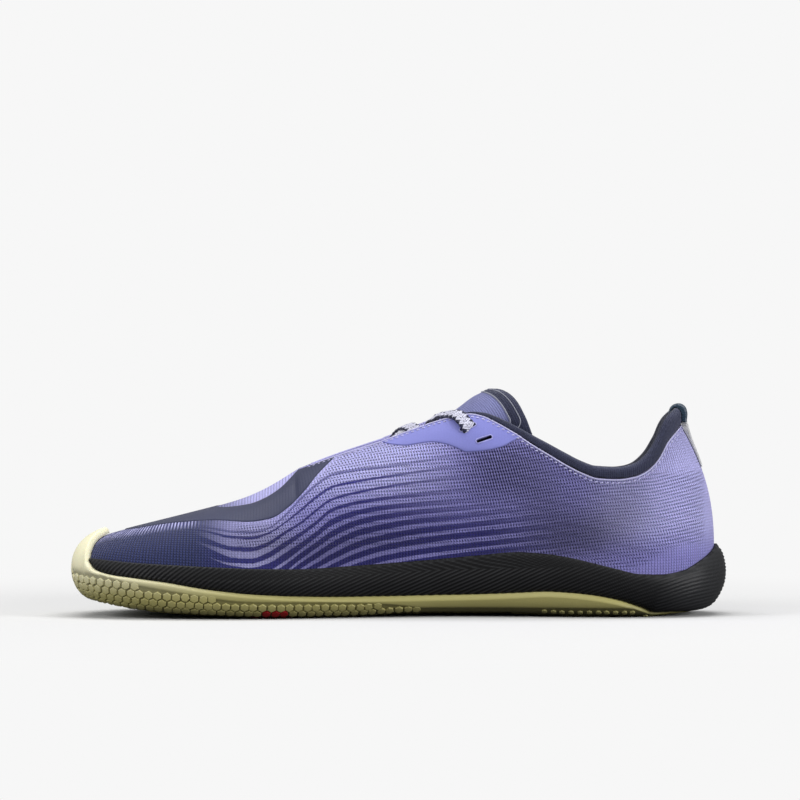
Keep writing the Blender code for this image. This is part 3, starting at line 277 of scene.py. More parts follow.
outline_d = _round_loop(_sd, _sd)
outline_y = _round_loop(_sm, _sl)
rise_of = _round_loop(*[column(SECTIONS, SECTION_COLUMNS, "rise")] * 2)
inset_of = _round_loop(column(SECTIONS, SECTION_COLUMNS, "inset_m"), column(SECTIONS, SECTION_COLUMNS, "inset_l"))
full_of = _round_loop(column(SECTIONS, SECTION_COLUMNS, "full_m"), column(SECTIONS, SECTION_COLUMNS, "full_l"))
midline_y = by_d(MIDLINE, MIDLINE_COLUMNS, "y")
spring_z = by_d(SPRING, SPRING_COLUMNS, "z")
rand_wall = by_d(WALLS, WALL_COLUMNS, "rand")
out_wall = by_d(WALLS, WALL_COLUMNS, "out")
line_of = {name: by_d(LINES, LINE_COLUMNS, name) for name in LINE_COLUMNS[1:]}

# The top line as a curve of its own, mirrored past the heel so that it is round there.
_td, _th, _tz = (column(TOPLINE, TOP_COLUMNS, c) for c in ("d", "half", "z"))
_tq = np.concatenate([[0], np.cumsum(np.sqrt(np.diff(_td) ** 2 + np.diff(_th) ** 2 + np.diff(_tz) ** 2))])
_mq = np.concatenate([-_tq[3:0:-1], _tq])


def _past_heel(values, sign):
    return steady(_mq, np.concatenate([sign * values[3:0:-1], values]))


top_d = _past_heel(_td, 1)
top_half = _past_heel(_th, -1)
top_z = _past_heel(_tz, 1)
top_lean = _past_heel(column(TOPLINE, TOP_COLUMNS, "lean"), 1)
top_band = _past_heel(column(TOPLINE, TOP_COLUMNS, "band"), 1)
top_band_lean = _past_heel(column(TOPLINE, TOP_COLUMNS, "band_lean"), 1)
_q_at_d = steady(_td, _tq)
_tau_at_d = steady(_sd, SECTION_TAU)
_fine = np.linspace(0, 1, 801)
_pair_q = steady([float(_tau_at_d(a)) for a, b in RIB_PAIRS], [float(_q_at_d(b)) for a, b in RIB_PAIRS])(_fine)
_kernel = np.exp(-np.linspace(-2, 2, 41) ** 2)
_kernel /= _kernel.sum()
_pair_q = np.convolve(np.concatenate([-_pair_q[20:0:-1], _pair_q, 2 * _pair_q[-1] - _pair_q[-2:-22:-1]]), _kernel, "valid")


def side_of(tau):
    """tau on one side, from 0 heel to 1 toe, and -1 medial or +1 lateral."""
    tau = np.mod(np.asarray(tau, float), 2.0)
    return np.where(tau > 1, 2 - tau, tau), np.where(tau > 1, 1.0, -1.0)


def top_q(tau):
    return np.interp(side_of(tau)[0], _fine, _pair_q)


def bed_z(d):
    """Where the upper's lower edge rests."""
    return SLAB + GAP + spring_z(d)


def rib_frame(tau):
    """The seven control points of the rib at each tau: feather edge, widest line, top line."""
    tau = np.atleast_1d(np.asarray(tau, float))
    t, side = side_of(tau)
    e = 1e-4
    fd, fy = outline_d(tau), outline_y(tau)
    dd, dy = outline_d(tau + e) - outline_d(tau - e), outline_y(tau + e) - outline_y(tau - e)
    size = np.hypot(dd, dy)
    nd, ny = dy / size, -dd / size
    zeros = np.zeros_like(fd)
    out = np.stack([nd, ny, zeros], 1)
    inset, rise, full = inset_of(tau), rise_of(tau), full_of(tau)
    base = fd - nd * inset
    p0 = np.stack([base, fy - ny * inset, bed_z(base)], 1)
    p1 = np.stack([fd, fy, bed_z(base) + rise], 1)
    q = top_q(tau)
    td, half, tz, lean = top_d(q), top_half(q), top_z(q), np.radians(top_lean(q))
    drop = LATERAL_DROP * ease((td - 22) / 20) * ease((100 - td) / 30)
    tz = tz - np.where(side > 0, drop, 0)
    ty = midline_y(td) + side * half
    top = np.stack([td, ty, tz], 1)
    slope = (top_z(q + 0.5) - top_z(q - 0.5)) / np.maximum(top_d(q + 0.5) - top_d(q - 0.5), 1e-6)
    slope = np.where(td > THROAT_D, np.clip(slope, -0.7, 0.2), -0.35) * (0.4 + 0.6 * ease((td - 120) / 60))
    away = np.stack([fd - td, fy - ty], 1)
    reach = np.hypot(away[:, 0], away[:, 1])
    away = away / reach[:, None]
    down = np.stack([away[:, 0] * np.cos(lean), away[:, 1] * np.cos(lean),
                     -np.sin(lean) + away[:, 0] * np.cos(lean) * slope], 1)
    down /= np.linalg.norm(down, axis=1)[:, None]
    high = tz - p1[:, 2]
    up = np.array([0.0, 0.0, 1.0])
    a1 = p0 + out * (inset * 0.6)[:, None]
    a2 = p1 - up * (rise * 0.58)[:, None]
    b1 = p1 + up * (full * high)[:, None]
    b2 = top + down * (full * (np.cos(lean) * reach + np.sin(lean) * high))[:, None]
    return p0, a1, a2, p1, b1, b2, top


def _bezier(a, b, c, d, t):
    s = 1 - t
    return s ** 3 * a + 3 * s * s * t * b + 3 * s * t * t * c + t ** 3 * d


def rib_point(frame, w):
    """Points of the ribs at w: 0 feather edge, 1 widest line, 2 top line. w is one value a rib, or ribs by levels."""
    w = np.asarray(w, float)
    flat = w.ndim == 1
    w = w[:, None] if flat else w
    p0, a1, a2, p1, b1, b2, top = (c[:, None, :] for c in frame)
    low = _bezier(p0, a1, a2, p1, np.clip(w, 0, 1)[..., None])
    high = _bezier(p1, b1, b2, top, np.clip(w - 1, 0, 1)[..., None])
    p = np.where((w <= 1)[..., None], low, high)
    return p[:, 0] if flat else p


def last_point(tau, w, away=0.0):
    """The outside of the upper at (tau, w), moved away from it along its normal by away millimetres.
    tau has one value a rib, w ribs by levels."""
    tau = np.atleast_1d(np.asarray(tau, float))
    w = np.asarray(w, float)
    w = np.broadcast_to(w, (len(tau), w.shape[-1])) if w.ndim == 1 else w
    e, ew = 4e-4, 4e-3
    wc = np.clip(w, 0, 2 - ew) if np.any(away) else w
    p = rib_point(rib_frame(tau), w)
    if not np.any(away):
        return p
    wn = np.clip(w, ew, 2 - ew)
    here = rib_frame(tau)
    along = rib_point(rib_frame(tau + e), wn) - rib_point(rib_frame(tau - e), wn)
    across = rib_point(here, wn + ew) - rib_point(here, wn - ew)
    n = np.cross(along, across)
    n /= np.maximum(np.linalg.norm(n, axis=2), 1e-12)[..., None]
    # On the vamp ridge both sides share one normal, and at the feather edge it points straight down.
    q = top_q(tau)
    td = top_d(q)
    slope = (top_z(q + 1.0) - top_z(q - 1.0)) / np.maximum(top_d(q + 1.0) - top_d(q - 1.0), 1e-6)
    ridge = np.stack([-slope, np.zeros_like(slope), np.ones_like(slope)], 1)
    ridge /= np.linalg.norm(ridge, axis=1)[:, None]
    share = np.where(td > THROAT_D - 1.0, 1.0, 0.0)[:, None] * ease((w - 1.9) / 0.1)
    n = n * (1 - share[..., None]) + ridge[:, None, :] * share[..., None]
    flat = ease(1 - w / 0.12)[..., None]
    n = n * (1 - flat) + np.array([0.0, 0.0, -1.0]) * flat
    n /= np.linalg.norm(n, axis=2)[..., None]
    away = np.asarray(away, float)
    return p + n * (away[..., None] if away.ndim else away)


_levels = np.linspace(0, 2, 161)


def level_at_height(tau, z):
    """w where each rib passes height z."""
    p = rib_point(rib_frame(tau), np.broadcast_to(_levels, (len(tau), len(_levels))))
    return np.array([np.interp(zz, row[:, 2], _levels) for row, zz in zip(p, z)])


def level_at_reach(tau, reach, start=1.0):
    """w that lies reach millimetres along each rib from w = start."""
    p = rib_point(rib_frame(tau), np.broadcast_to(_levels, (len(tau), len(_levels))))
    out = []
    for row, r in zip(p, reach):
        s = np.concatenate([[0], np.cumsum(np.linalg.norm(np.diff(row, axis=0), axis=1))])
        out.append(np.interp(np.interp(start, _levels, s) + r, s, _levels))
    return np.array(out)


def tau_at_y(y, lateral):
    """tau of the outline point near the toe with this y."""
    t = np.linspace(1.0, 1.25, 2001) if lateral else np.linspace(0.8, 1.0, 2001)
    yy = outline_y(t)
    return float(np.interp(y, yy, t))


BUMPER_TAU = (tau_at_y(BUMPER_MED, False), tau_at_y(BUMPER_LAT, True))


def bumper_share(tau):
    """0 at the bumper's corners and beyond, 1 at its middle."""
    mid, half = (BUMPER_TAU[0] + BUMPER_TAU[1]) / 2, (BUMPER_TAU[1] - BUMPER_TAU[0]) / 2
    s = np.clip(np.abs((np.mod(tau, 2.0) - mid) / half), 0, 1)
    return (1 - s ** 2.3) ** 0.85


def line_height(name, tau):
    d, (t, side) = outline_d(tau), side_of(tau)
    return np.where(side < 0, line_of[name + "_m"](d), line_of[name + "_l"](d))


def out_level(tau):
    """w of the outsole wall's top edge, rising into the toe bumper."""
    tau = np.asarray(tau, float)
    wall = np.maximum(level_at_height(tau, line_height("out", tau)), 0.10)
    p = rib_point(rib_frame(tau), np.broadcast_to(_levels, (len(tau), len(_levels))))
    share = bumper_share(tau)
    out = []
    for row, w0, s in zip(p, wall, share):
        run = np.concatenate([[0], np.cumsum(np.linalg.norm(np.diff(row, axis=0), axis=1))])
        low, high = np.interp(w0, _levels, run), np.interp(1.0, _levels, run) + BUMPER_HIGH
        out.append(np.interp(low + (high - low) * s, run, _levels))
    return np.array(out)


def rand_level(tau):
    """w of the rand's top edge."""
    return level_at_height(tau, line_height("rand", tau))


def sole_away(tau, w, wall):
    """How far the outside of the sole stands from the upper: the slab below, its wall beside."""
    d = outline_d(tau)[:, None]
    bottom = SLAB + GAP
    side = GAP + wall[:, None]
    return bottom + (side - bottom) * ease(w / 0.95)


def arch_lift(d, across):
    """Clearance under the arch. across is -1 at the medial edge and +1 at the lateral edge."""
    along = ease((d - 66) / 26) * ease((158 - d) / 30)
    return ARCH_LIFT * along * (0.55 - 0.45 * across)


# ---------------------------------------------------------------- ribs, levels and section tables
# ---------------------------------------------------------------- meshes
HALF_STEPS = 34           # ribs on each side of the shoe, were they even all the way
VAMP_STEPS = 8            # ribs from the foot of the throat to the toe box
TOE_STEPS = 8             # closer ribs round the toe
TOE_TAU = 0.90


def _rib_stations():
    """Evenly spread taus that include the foot of the throat and mirror from side to side."""
    goal = _q_at_d(THROAT_D)
    throat = float(np.interp(goal, _pair_q, _fine))
    behind = int(round(HALF_STEPS * throat))
    t = np.concatenate([np.linspace(0, throat, behind + 1), np.linspace(throat, TOE_TAU, VAMP_STEPS + 1)[1:],
                        np.linspace(TOE_TAU, 1, TOE_STEPS + 1)[1:]])
    return t, behind

HALF_TAU, THROAT_INDEX = _rib_stations()
TAUS = np.concatenate([HALF_TAU, 2 - HALF_TAU[-2:0:-1]])
UPPER_LEVELS = np.array([0, 0.3, 0.55, 0.78, 1.0, 1.12, 1.25, 1.4, 1.55, 1.7, 1.82, 1.92, 2.0])


def spine_point(tau, z_of, inward=0.0):
    """Where the ribs of both sides meet under the foot."""
    t = side_of(tau)[0]
    d = 30.0 + (250.0 - 30.0) * (0.5 - 0.5 * np.cos(np.pi * t)) ** 0.9
    y = steady([5, 60, 120, 180, 230, 267], [0, 1.5, 5.0, 3.5, -3.0, -12.0])(d)
    return np.stack([d, y, z_of(d)], 1)



def plate(tau, rim, z_of, fractions):
    """Rings from a rim line in to the spine, with the height from z_of(d, y, across)."""
    spine = spine_point(tau, lambda d: d * 0)
    side = side_of(tau)[1]
    rings = []
    for f in fractions:
        p = rim * (1 - f) + spine * f
        across = np.where((tau < 1e-9) | (np.abs(tau - 1) < 1e-9), 0, side) * (1 - f)
        p[:, 2] = z_of(p[:, 0], p[:, 1], across)
        rings.append(p)
    return np.stack(rings, 1)



def under_sole(d, y, across):
    return spring_z(d) + arch_lift(d, across)



def level_reach(tau, w):
    """How far along each rib, from its feather edge, the level w lies."""
    p = rib_point(rib_frame(tau), np.broadcast_to(_levels, (len(tau), len(_levels))))
    out = []
    for row, w0 in zip(p, w):
        run = np.concatenate([[0], np.cumsum(np.linalg.norm(np.diff(row, axis=0), axis=1))])
        out.append(np.interp(w0, _levels, run))
    return np.array(out)

FOOTBED = 3.0             # footbed thickness
FOOTBED_RISE = 5.0        # its cupped edge, over the feather edge
PAD = 3.6                 # collar padding
COLLAR_END = 105.0        # how far forward the padded collar runs
COLLAR_REACH = 27.0       # how far its lining goes down inside


def collar_stations():
    full = np.concatenate([TAUS[TAUS > 1] - 2, TAUS[TAUS <= 1]])
    d = top_d(top_q(full))
    return full[d <= COLLAR_END]



def band_direction(tau):
    """Which way the padded band stands on the knit's edge, and the way out from the opening."""
    t, side = side_of(tau)
    q = top_q(tau)
    lean = np.radians(top_band_lean(q))
    here = rib_frame(tau)
    p1, top = here[3], here[6]
    away = (p1 - top)[:, :2]
    away /= np.linalg.norm(away, axis=1)[:, None]
    up = np.stack([-away[:, 0] * np.cos(lean), -away[:, 1] * np.cos(lean), np.sin(lean)], 1)
    outward = np.stack([away[:, 0] * np.sin(lean), away[:, 1] * np.sin(lean), np.cos(lean)], 1)
    return up, outward



def collar_sections(tau):
    """Closed section of the padded collar at each tau: up its outside, over the top and down the lining."""
    n = len(tau)
    q = top_q(tau)
    up, outward = band_direction(tau)
    top = last_point(tau, np.array([2.0]), 0.0)[:, 0]
    band = np.maximum(top_band(q), 1.9)[:, None]
    pad = PAD - 1.3 * ease((top_d(q) - 88) / 20)
    pad = pad[:, None]
    start = top + up * (GAP + 0.15)
    rows = [start + outward * 0.15]
    for h, o in ((0.34, 0.55), (0.62, 0.5), (0.84, -0.1), (0.96, -1.0), (1.0, -1.9), (0.95, -2.9), (0.82, -3.6)):
        scale = np.where(o < 0, pad / 3.6, 1.0)
        rows.append(top + up * (GAP + 0.15 + (band - 0.2) * h) + outward * (o * scale if o < 0 else o * np.minimum(band / 5, 1)))
    depth = COLLAR_REACH - 6 * ease((top_d(q) - 60) / 45)
    for f, thick in ((0.0, 1.0), (0.25, 1.0), (0.5, 0.92), (0.75, 0.75), (0.94, 0.5)):
        w = level_below_top(tau, depth * f + 0.6)
        rows.append(last_point(tau, w[:, None], -(KNIT + GAP + pad * thick + 0.0))[:, 0])
    for f in (1.0, 0.75, 0.5, 0.25, 0.0):
        w = level_below_top(tau, depth * f + 0.3)
        rows.append(last_point(tau, w[:, None], -(KNIT + GAP + 0.2))[:, 0])
    rows.append(last_point(tau, np.array([2.0]), -(KNIT + GAP + 0.15))[:, 0] + up * (GAP + 0.3))
    return np.stack(rows, 1)



def level_below_top(tau, reach):
    p = rib_point(rib_frame(tau), np.broadcast_to(_levels, (len(tau), len(_levels))))
    out = []
    for row, r in zip(p, np.broadcast_to(reach, (len(tau),))):
        run = np.concatenate([[0], np.cumsum(np.linalg.norm(np.diff(row, axis=0), axis=1))])
        out.append(np.interp(run[-1] - r, run, _levels))
    return np.array(out)

# Tongue: one row per station from under the vamp to its top edge. d and z are its outer face in the
# middle, half its half-width, back and drop how far its edges lie behind and below the middle,
# power how flat the middle stays, thick its thickness.
TONGUE_COLUMNS = ("d", "z", "half", "back", "drop", "power", "thick")
TONGUE = (
    (192.0, 45.4, 10.0, 0.0, 2.0, 2.2, 1.6),
    (184.0, 49.6, 14.0, 0.5, 3.6, 2.4, 2.0),
    (176.0, 53.8, 18.0, 1.4, 6.4, 2.8, 2.6),
    (166.0, 59.0, 20.5, 2.4, 9.0, 3.0, 3.2),
    (154.0, 63.9, 22.0, 3.6, 11.0, 3.0, 3.6),
    (142.0, 68.3, 22.5, 5.0, 12.5, 3.0, 3.8),
    (130.0, 73.0, 22.5, 6.8, 14.0, 2.9, 4.0),
    (120.0, 78.2, 22.0, 8.8, 15.0, 2.8, 4.2),
    (111.0, 84.9, 21.0, 11.0, 15.8, 2.7, 4.4),
    (104.0, 90.0, 20.0, 13.2, 16.4, 2.8, 4.6),
    (99.5, 92.2, 18.8, 15.0, 16.8, 2.9, 4.2),
    (97.4, 92.5, 17.8, 16.0, 17.0, 3.0, 2.6),
)
TONGUE_ACROSS = 14
LACE_ROOM = 2.5           # between the knit's inside and the tongue, where the lace runs under the edge


def nearest_heights(samples, dy):
    """Height of a sampled surface at plan points, from its three nearest samples."""
    out = np.empty(len(dy))
    for i, p in enumerate(dy):
        gap = np.hypot(samples[:, 0] - p[0], samples[:, 1] - p[1])
        k = np.argpartition(gap, 3)[:3]
        weight = 1 / np.maximum(gap[k], 0.05)
        out[i] = np.where(gap[k].min() < 1.6, (samples[k, 2] * weight).sum() / weight.sum(), 999.0)
    return out



def inside_samples():
    """The surface that the tongue stays below: the inside of the knit."""
    tau = np.concatenate([np.linspace(0.05, 0.95, 260), 2 - np.linspace(0.05, 0.95, 260)])
    w = np.linspace(1.35, 2.0, 46)
    d = top_d(top_q(tau))
    knit = last_point(tau, w, -(KNIT + LACE_ROOM))
    return knit[d > COLLAR_END - 6].reshape(-1, 3)



def collar_lining_samples():
    """The collar's inner face from its top edge down, with the side each sample is on."""
    low = collar_stations()
    tau = np.concatenate([np.linspace(low[0], -0.12, 90), np.linspace(0.12, low[-1], 90)])
    rows = collar_sections(tau)[:, 3:13]
    k = np.linspace(0, rows.shape[1] - 1, 60)
    i = np.minimum(k.astype(int), rows.shape[1] - 2)
    f = (k - i)[None, :, None]
    dense = rows[:, i] * (1 - f) + rows[:, i + 1] * f
    side = np.repeat(np.where(tau < 0, 1.0, -1.0), len(k))
    return dense.reshape(-1, 3), side



def inside_collar(points):
    """Moves points that lie in the padded collar or outside it to its inner face."""
    samples, sides = collar_lining_samples()
    flat = points.reshape(-1, 3)
    for p in flat:
        mid = float(midline_y(p[0]))
        side = -1.0 if p[1] < mid else 1.0
        mine = samples[sides == side]
        gap = np.hypot(mine[:, 0] - p[0], mine[:, 2] - p[2])
        near = gap < max(1.2, gap.min() + 0.6) if gap.min() < 2.2 else gap < 0
        if near.any():
            limit = np.abs(mine[near, 1] - mid).min() - GAP - 0.9
            p[1] = mid + side * min(abs(p[1] - mid), limit)
    return points



def tongue_faces():
    v = np.linspace(-1, 1, TONGUE_ACROSS + 1)
    v = np.sign(v) * np.abs(v) ** 0.9
    get = lambda name: column(TONGUE, TONGUE_COLUMNS, name)
    d, z, half, back, drop, power, thick = (get(c)[:, None] for c in TONGUE_COLUMNS)
    dd = d - back * np.abs(v)[None] ** (0.55 * power)
    zz = z - drop * np.abs(v)[None] ** power
    yy = midline_y(d) + half * v[None]
    outer = np.stack([dd, np.broadcast_to(yy, dd.shape), zz], 2)
    ceiling = nearest_heights(inside_samples(), outer.reshape(-1, 3)[:, :2]).reshape(dd.shape)
    outer[..., 2] = np.minimum(outer[..., 2], ceiling)
    outer = inside_collar(outer)
    du = np.gradient(outer, axis=0)
    dv = np.gradient(outer, axis=1)
    n = np.cross(dv, du)
    n /= np.linalg.norm(n, axis=2)[..., None]
    n *= np.sign(n[:, TONGUE_ACROSS // 2, 2])[:, None, None]
    taper = 1 - 0.62 * np.abs(v)[None, :] ** 4
    inner = outer - n * (thick * taper)[..., None]
    return outer, inner

LACE_WIDTH = 6.4
LACE_THICK = 1.3
TOP_BOW = 0.8             # the last crossing stands up off the tongue
# Station of each pair of eyelets, and how far down the eyestay from the throat edge it sits.
EYELET_COLUMNS = ("d", "down")
EYELETS = ((170.5, 1.2, 0), (157.5, 2.4, 0), (142.0, 2.6, 0), (126.0, 2.6, 0), (111.0, 7.6, 1))


def eyelet_at(row, side):
    """Point where a lace goes in: on the outside of the upper, or in the room under its edge."""
    d, down, over = row
    t = float(np.interp(_q_at_d(d), _pair_q, _fine))
    tau = np.array([t if side < 0 else 2 - t])
    w = level_below_top(tau, down)
    return last_point(tau, w[:, None], 0.0 if over else -(KNIT + LACE_ROOM + 0.05))[0, 0]



def deck_samples():
    tau = np.concatenate([np.linspace(0.2, 0.9, 220), 2 - np.linspace(0.2, 0.9, 220)])
    w = np.linspace(1.5, 2.0, 44)
    knit = last_point(tau, w, 0.0).reshape(-1, 3)
    outer = tongue_faces()[0]
    u = np.linspace(0, 1, 90)
    rows = np.linspace(0, outer.shape[0] - 1, 100)
    cols = np.linspace(0, outer.shape[1] - 1, 70)
    i0, j0 = np.minimum(rows.astype(int), outer.shape[0] - 2), np.minimum(cols.astype(int), outer.shape[1] - 2)
    a, b = (rows - i0)[:, None, None], (cols - j0)[None, :, None]
    dense = ((1 - a) * (1 - b) * outer[i0][:, j0] + a * (1 - b) * outer[i0 + 1][:, j0]
             + (1 - a) * b * outer[i0][:, j0 + 1] + a * b * outer[i0 + 1][:, j0 + 1])
    return knit, dense.reshape(-1, 3)



def hull_over(s, z):
    """Taut line over the heights z at the runs s."""
    keep = []
    for i in range(len(s)):
        while len(keep) > 1:
            a, b = keep[-2], keep[-1]
            if (z[b] - z[a]) * (s[i] - s[a]) <= (z[i] - z[a]) * (s[b] - s[a]):
                keep.pop()
            else:
                break
        keep.append(i)
    return np.interp(s, s[keep], z[keep])


def lace_runs():
    """Pairs of eyelets that the lace joins: a bar at the toe end, then crossings."""
    runs = [((0, -1), (0, 1), 0.0)]
    for i in range(len(EYELETS) - 1):
        under, over = ((i, -1), (i + 1, 1)), ((i, 1), (i + 1, -1))
        bow = TOP_BOW if i == len(EYELETS) - 2 else 0.0
        runs.append((*under, 0.5 + bow))
        runs.append((*over, 0.5 + bow + LACE_THICK))
    return runs



# ---------------------------------------------------------------- placing the last in the frame
def _knit_corner():
    low = last_point(TAUS, UPPER_LEVELS, 0.0).reshape(-1, 3)
    x = LENGTH / 2 - low[:, 0]
    return np.array([x.min(), low[:, 1].min(), low[:, 2].min()]) * MM


SHIFT = np.array(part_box("upper")[0]) - _knit_corner()
SHIFT[2] = 0.0


def to_world(p):
    """Station, side and height to the row frame, in metres."""
    p = np.asarray(p, float)
    return np.stack([(LENGTH / 2 - p[..., 0]) * MM, p[..., 1] * MM, p[..., 2] * MM], -1) + SHIFT


# ---------------------------------------------------------------- mesh making
class Sheet:
    """Grids of points with per-point values, made into one object."""

    def __init__(self, values=()):
        self.names = list(values)
        self.points, self.faces, self.slots = [], [], []
        self.uvs, self.values = [], {n: [] for n in values}
        self.count = 0

    def grid(self, p, uv=None, wrap=False, slot=0, flip=False, **values):
        rows, cols = p.shape[:2]
        base = self.count
        self.points.append(p.reshape(-1, 3))
        self.count += rows * cols
        self.uvs.append(np.zeros((rows * cols, 2)) if uv is None else uv.reshape(-1, 2))
        for n in self.names:
            v = values.get(n, 0.0)
            self.values[n].append(np.broadcast_to(v, (rows, cols)).reshape(-1))
        i = np.arange(rows if wrap else rows - 1)
        j = (i + 1) % rows
        k = np.arange(cols - 1)
        a = base + i[:, None] * cols + k
        b = base + j[:, None] * cols + k
        quads = np.stack([a, b, b + 1, a + 1], -1).reshape(-1, 4)
        self.faces.append(quads[:, ::-1] if flip else quads)
        self.slots.append(np.full(len(quads), slot))

    def solid(self, points, faces, slot=0, uv=None, **values):
        """Free-form piece: many points and its faces, each a tuple of point numbers."""
        base = self.count
        self.points.append(points)
        self.count += len(points)
        self.uvs.append(np.zeros((len(points), 2)) if uv is None else uv)
        for n in self.names:
            self.values[n].append(np.broadcast_to(values.get(n, 0.0), (len(points),)))
        faces = np.asarray(faces)
        self.faces.append(faces + base)
        self.slots.append(np.full(len(faces), slot))

    def make(self, name, materials, merge=2e-6, smooth=True, world=True, outward=True):
        pts = np.concatenate(self.points)
        pts = to_world(pts) if world else pts
        mesh = bpy.data.meshes.new(name)
        faces = [tuple(int(i) for i in f) for block in self.faces for f in block]
        mesh.from_pydata([tuple(v) for v in pts], [], faces)
        uv = np.concatenate(self.uvs)
        layer = mesh.uv_layers.new(name="UVMap")
        loops = np.empty(len(mesh.loops), dtype=np.int32)
        mesh.loops.foreach_get("vertex_index", loops)
        layer.data.foreach_set("uv", uv[loops].reshape(-1))
        for n in self.names:
            at = mesh.attributes.new(n, "FLOAT", "POINT")
            at.data.foreach_set("value", np.concatenate(self.values[n]).astype(np.float32))
        mesh.polygons.foreach_set("material_index", np.concatenate(self.slots).astype(np.int32))
        for m in materials:
            mesh.materials.append(m)
        bm = bmesh.new()
        bm.from_mesh(mesh)
        bmesh.ops.remove_doubles(bm, verts=bm.verts, dist=merge)
        bmesh.ops.dissolve_degenerate(bm, dist=1e-7, edges=bm.edges)
        if outward:
            bmesh.ops.recalc_face_normals(bm, faces=bm.faces)
        bm.to_mesh(mesh)
        bm.free()
        mesh.polygons.foreach_set("use_smooth", np.full(len(mesh.polygons), smooth))
        obj = bpy.data.objects.new(name, mesh)
        bpy.context.scene.collection.objects.link(obj)
        return obj


def sharp(obj, degrees=40):
    """Keeps edges steeper than that crisp."""
    bm = bmesh.new()
    bm.from_mesh(obj.data)
    for e in bm.edges:
        e.smooth = not (len(e.link_faces) == 2 and e.calc_face_angle(0) > math.radians(degrees))
    bm.to_mesh(obj.data)
    bm.free()


def arc_table(w=1.35, n=1201):
    """Length along the shoe's flank at tau, measured forward from the heel on each side."""
    t = np.linspace(-1, 1, n)
    p = rib_point(rib_frame(np.mod(t, 2.0)), np.full(n, w))
    s = np.concatenate([[0], np.cumsum(np.linalg.norm(np.diff(p, axis=0), axis=1))])
    s -= np.interp(0, t, s)
    return t, s


_arc_t, _arc_s = arc_table()


def arc(tau):
    """Signed length from the heel: positive round the medial side, negative round the lateral side."""
    t = np.mod(np.asarray(tau, float), 2.0)
    t = np.where(t > 1, t - 2, t)
    return np.interp(t, _arc_t, _arc_s)


def rib_lengths(tau, w):
    """Length up each rib from the feather edge at the levels w."""
    p = rib_point(rib_frame(tau), np.broadcast_to(_levels, (len(tau), len(_levels))))
    out = np.empty(w.shape)
    for i in range(len(tau)):
        s = np.concatenate([[0], np.cumsum(np.linalg.norm(np.diff(p[i], axis=0), axis=1))])
        out[i] = np.interp(w[i], _levels, s)
    return out


# ---------------------------------------------------------------- node shorthand
class Nodes:
    """Short calls that build a material's node tree."""

    def __init__(self, name):
        self.mat = bpy.data.materials.new(name)
        self.mat.use_nodes = True
        self.tree = self.mat.node_tree
        self.shader = self.tree.nodes["Principled BSDF"]

    def add(self, kind, **props):
        n = self.tree.nodes.new(kind)
        for k, v in props.items():
            setattr(n, k, v)
        return n

    def plug(self, socket, value):
        if hasattr(value, "is_output") or hasattr(value, "links"):
            self.tree.links.new(value, socket)
        elif isinstance(value, (tuple, list)) and len(value) == 3 and socket.type == "RGBA":
            socket.default_value = (*value, 1.0)
        else:
            socket.default_value = value

    def math(self, op, a, b=None, c=None, clamp=False):
        n = self.add("ShaderNodeMath", operation=op, use_clamp=clamp)
        for i, v in enumerate((a, b, c)):
            if v is not None:
                self.plug(n.inputs[i], v)
        return n.outputs[0]

    def attr(self, name):
        return self.add("ShaderNodeAttribute", attribute_name=name).outputs["Fac"]

    def uv(self):
        n = self.add("ShaderNodeUVMap", uv_map="UVMap")
        s = self.add("ShaderNodeSeparateXYZ")
        self.tree.links.new(n.outputs[0], s.inputs[0])
        return s.outputs[0], s.outputs[1]

    def place(self):
        return self.add("ShaderNodeTexCoord").outputs["Object"]

    def noise(self, scale, detail=3.0, rough=0.55, vector=None, stretch=None):
        n = self.add("ShaderNodeTexNoise")
        n.inputs["Scale"].default_value = scale
        n.inputs["Detail"].default_value = detail
        n.inputs["Roughness"].default_value = rough
        v = vector if vector is not None else self.place()
        if stretch:
            m = self.add("ShaderNodeMapping")
            m.inputs["Scale"].default_value = stretch
            self.tree.links.new(v, m.inputs[0])
            v = m.outputs[0]
        self.tree.links.new(v, n.inputs["Vector"])
        return n.outputs["Fac"]

    def mix(self, factor, a, b):
        n = self.add("ShaderNodeMix", data_type="RGBA")
        self.plug(n.inputs[0], factor)
        self.plug(n.inputs[6], a)
        self.plug(n.inputs[7], b)
        return n.outputs[2]

    def scale_colour(self, colour, value):
        n = self.add("ShaderNodeVectorMath", operation="SCALE")
        self.plug(n.inputs[0], colour)
        self.plug(n.inputs[3], value)
        return n.outputs[0]

    def step(self, value, low, high):
        n = self.add("ShaderNodeMapRange", interpolation_type="SMOOTHSTEP")
        self.plug(n.inputs[0], value)
        n.inputs[1].default_value = low
        n.inputs[2].default_value = high
        return n.outputs[0]

    def range(self, value, a, b, c, d):
        n = self.add("ShaderNodeMapRange")
        self.plug(n.inputs[0], value)
        for i, v in enumerate((a, b, c, d)):
            n.inputs[i + 1].default_value = v
        return n.outputs[0]

    def finish(self, colour, rough, bump=None, depth=0.0002, sheen=0.0, sheen_tint=(1, 1, 1), spec=0.5, strength=1.0):
        self.plug(self.shader.inputs["Base Color"], colour)
        self.plug(self.shader.inputs["Roughness"], rough)
        self.shader.inputs["Specular IOR Level"].default_value = spec
        if sheen:
            self.shader.inputs["Sheen Weight"].default_value = sheen
            self.shader.inputs["Sheen Roughness"].default_value = 0.45
            self.shader.inputs["Sheen Tint"].default_value = (*sheen_tint, 1.0)
        if bump is not None:
            n = self.add("ShaderNodeBump")
            n.inputs["Strength"].default_value = strength
            n.inputs["Distance"].default_value = depth
            self.tree.links.new(bump, n.inputs["Height"])
            self.tree.links.new(n.outputs[0], self.shader.inputs["Normal"])
        return self.mat


def lin(r, g, b):
    """Linear colour of an 8-bit display colour."""
    def one(c):
        c /= 255.0
        return c / 12.92 if c <= 0.04045 else ((c + 0.055) / 1.055) ** 2.4
    return one(r), one(g), one(b)


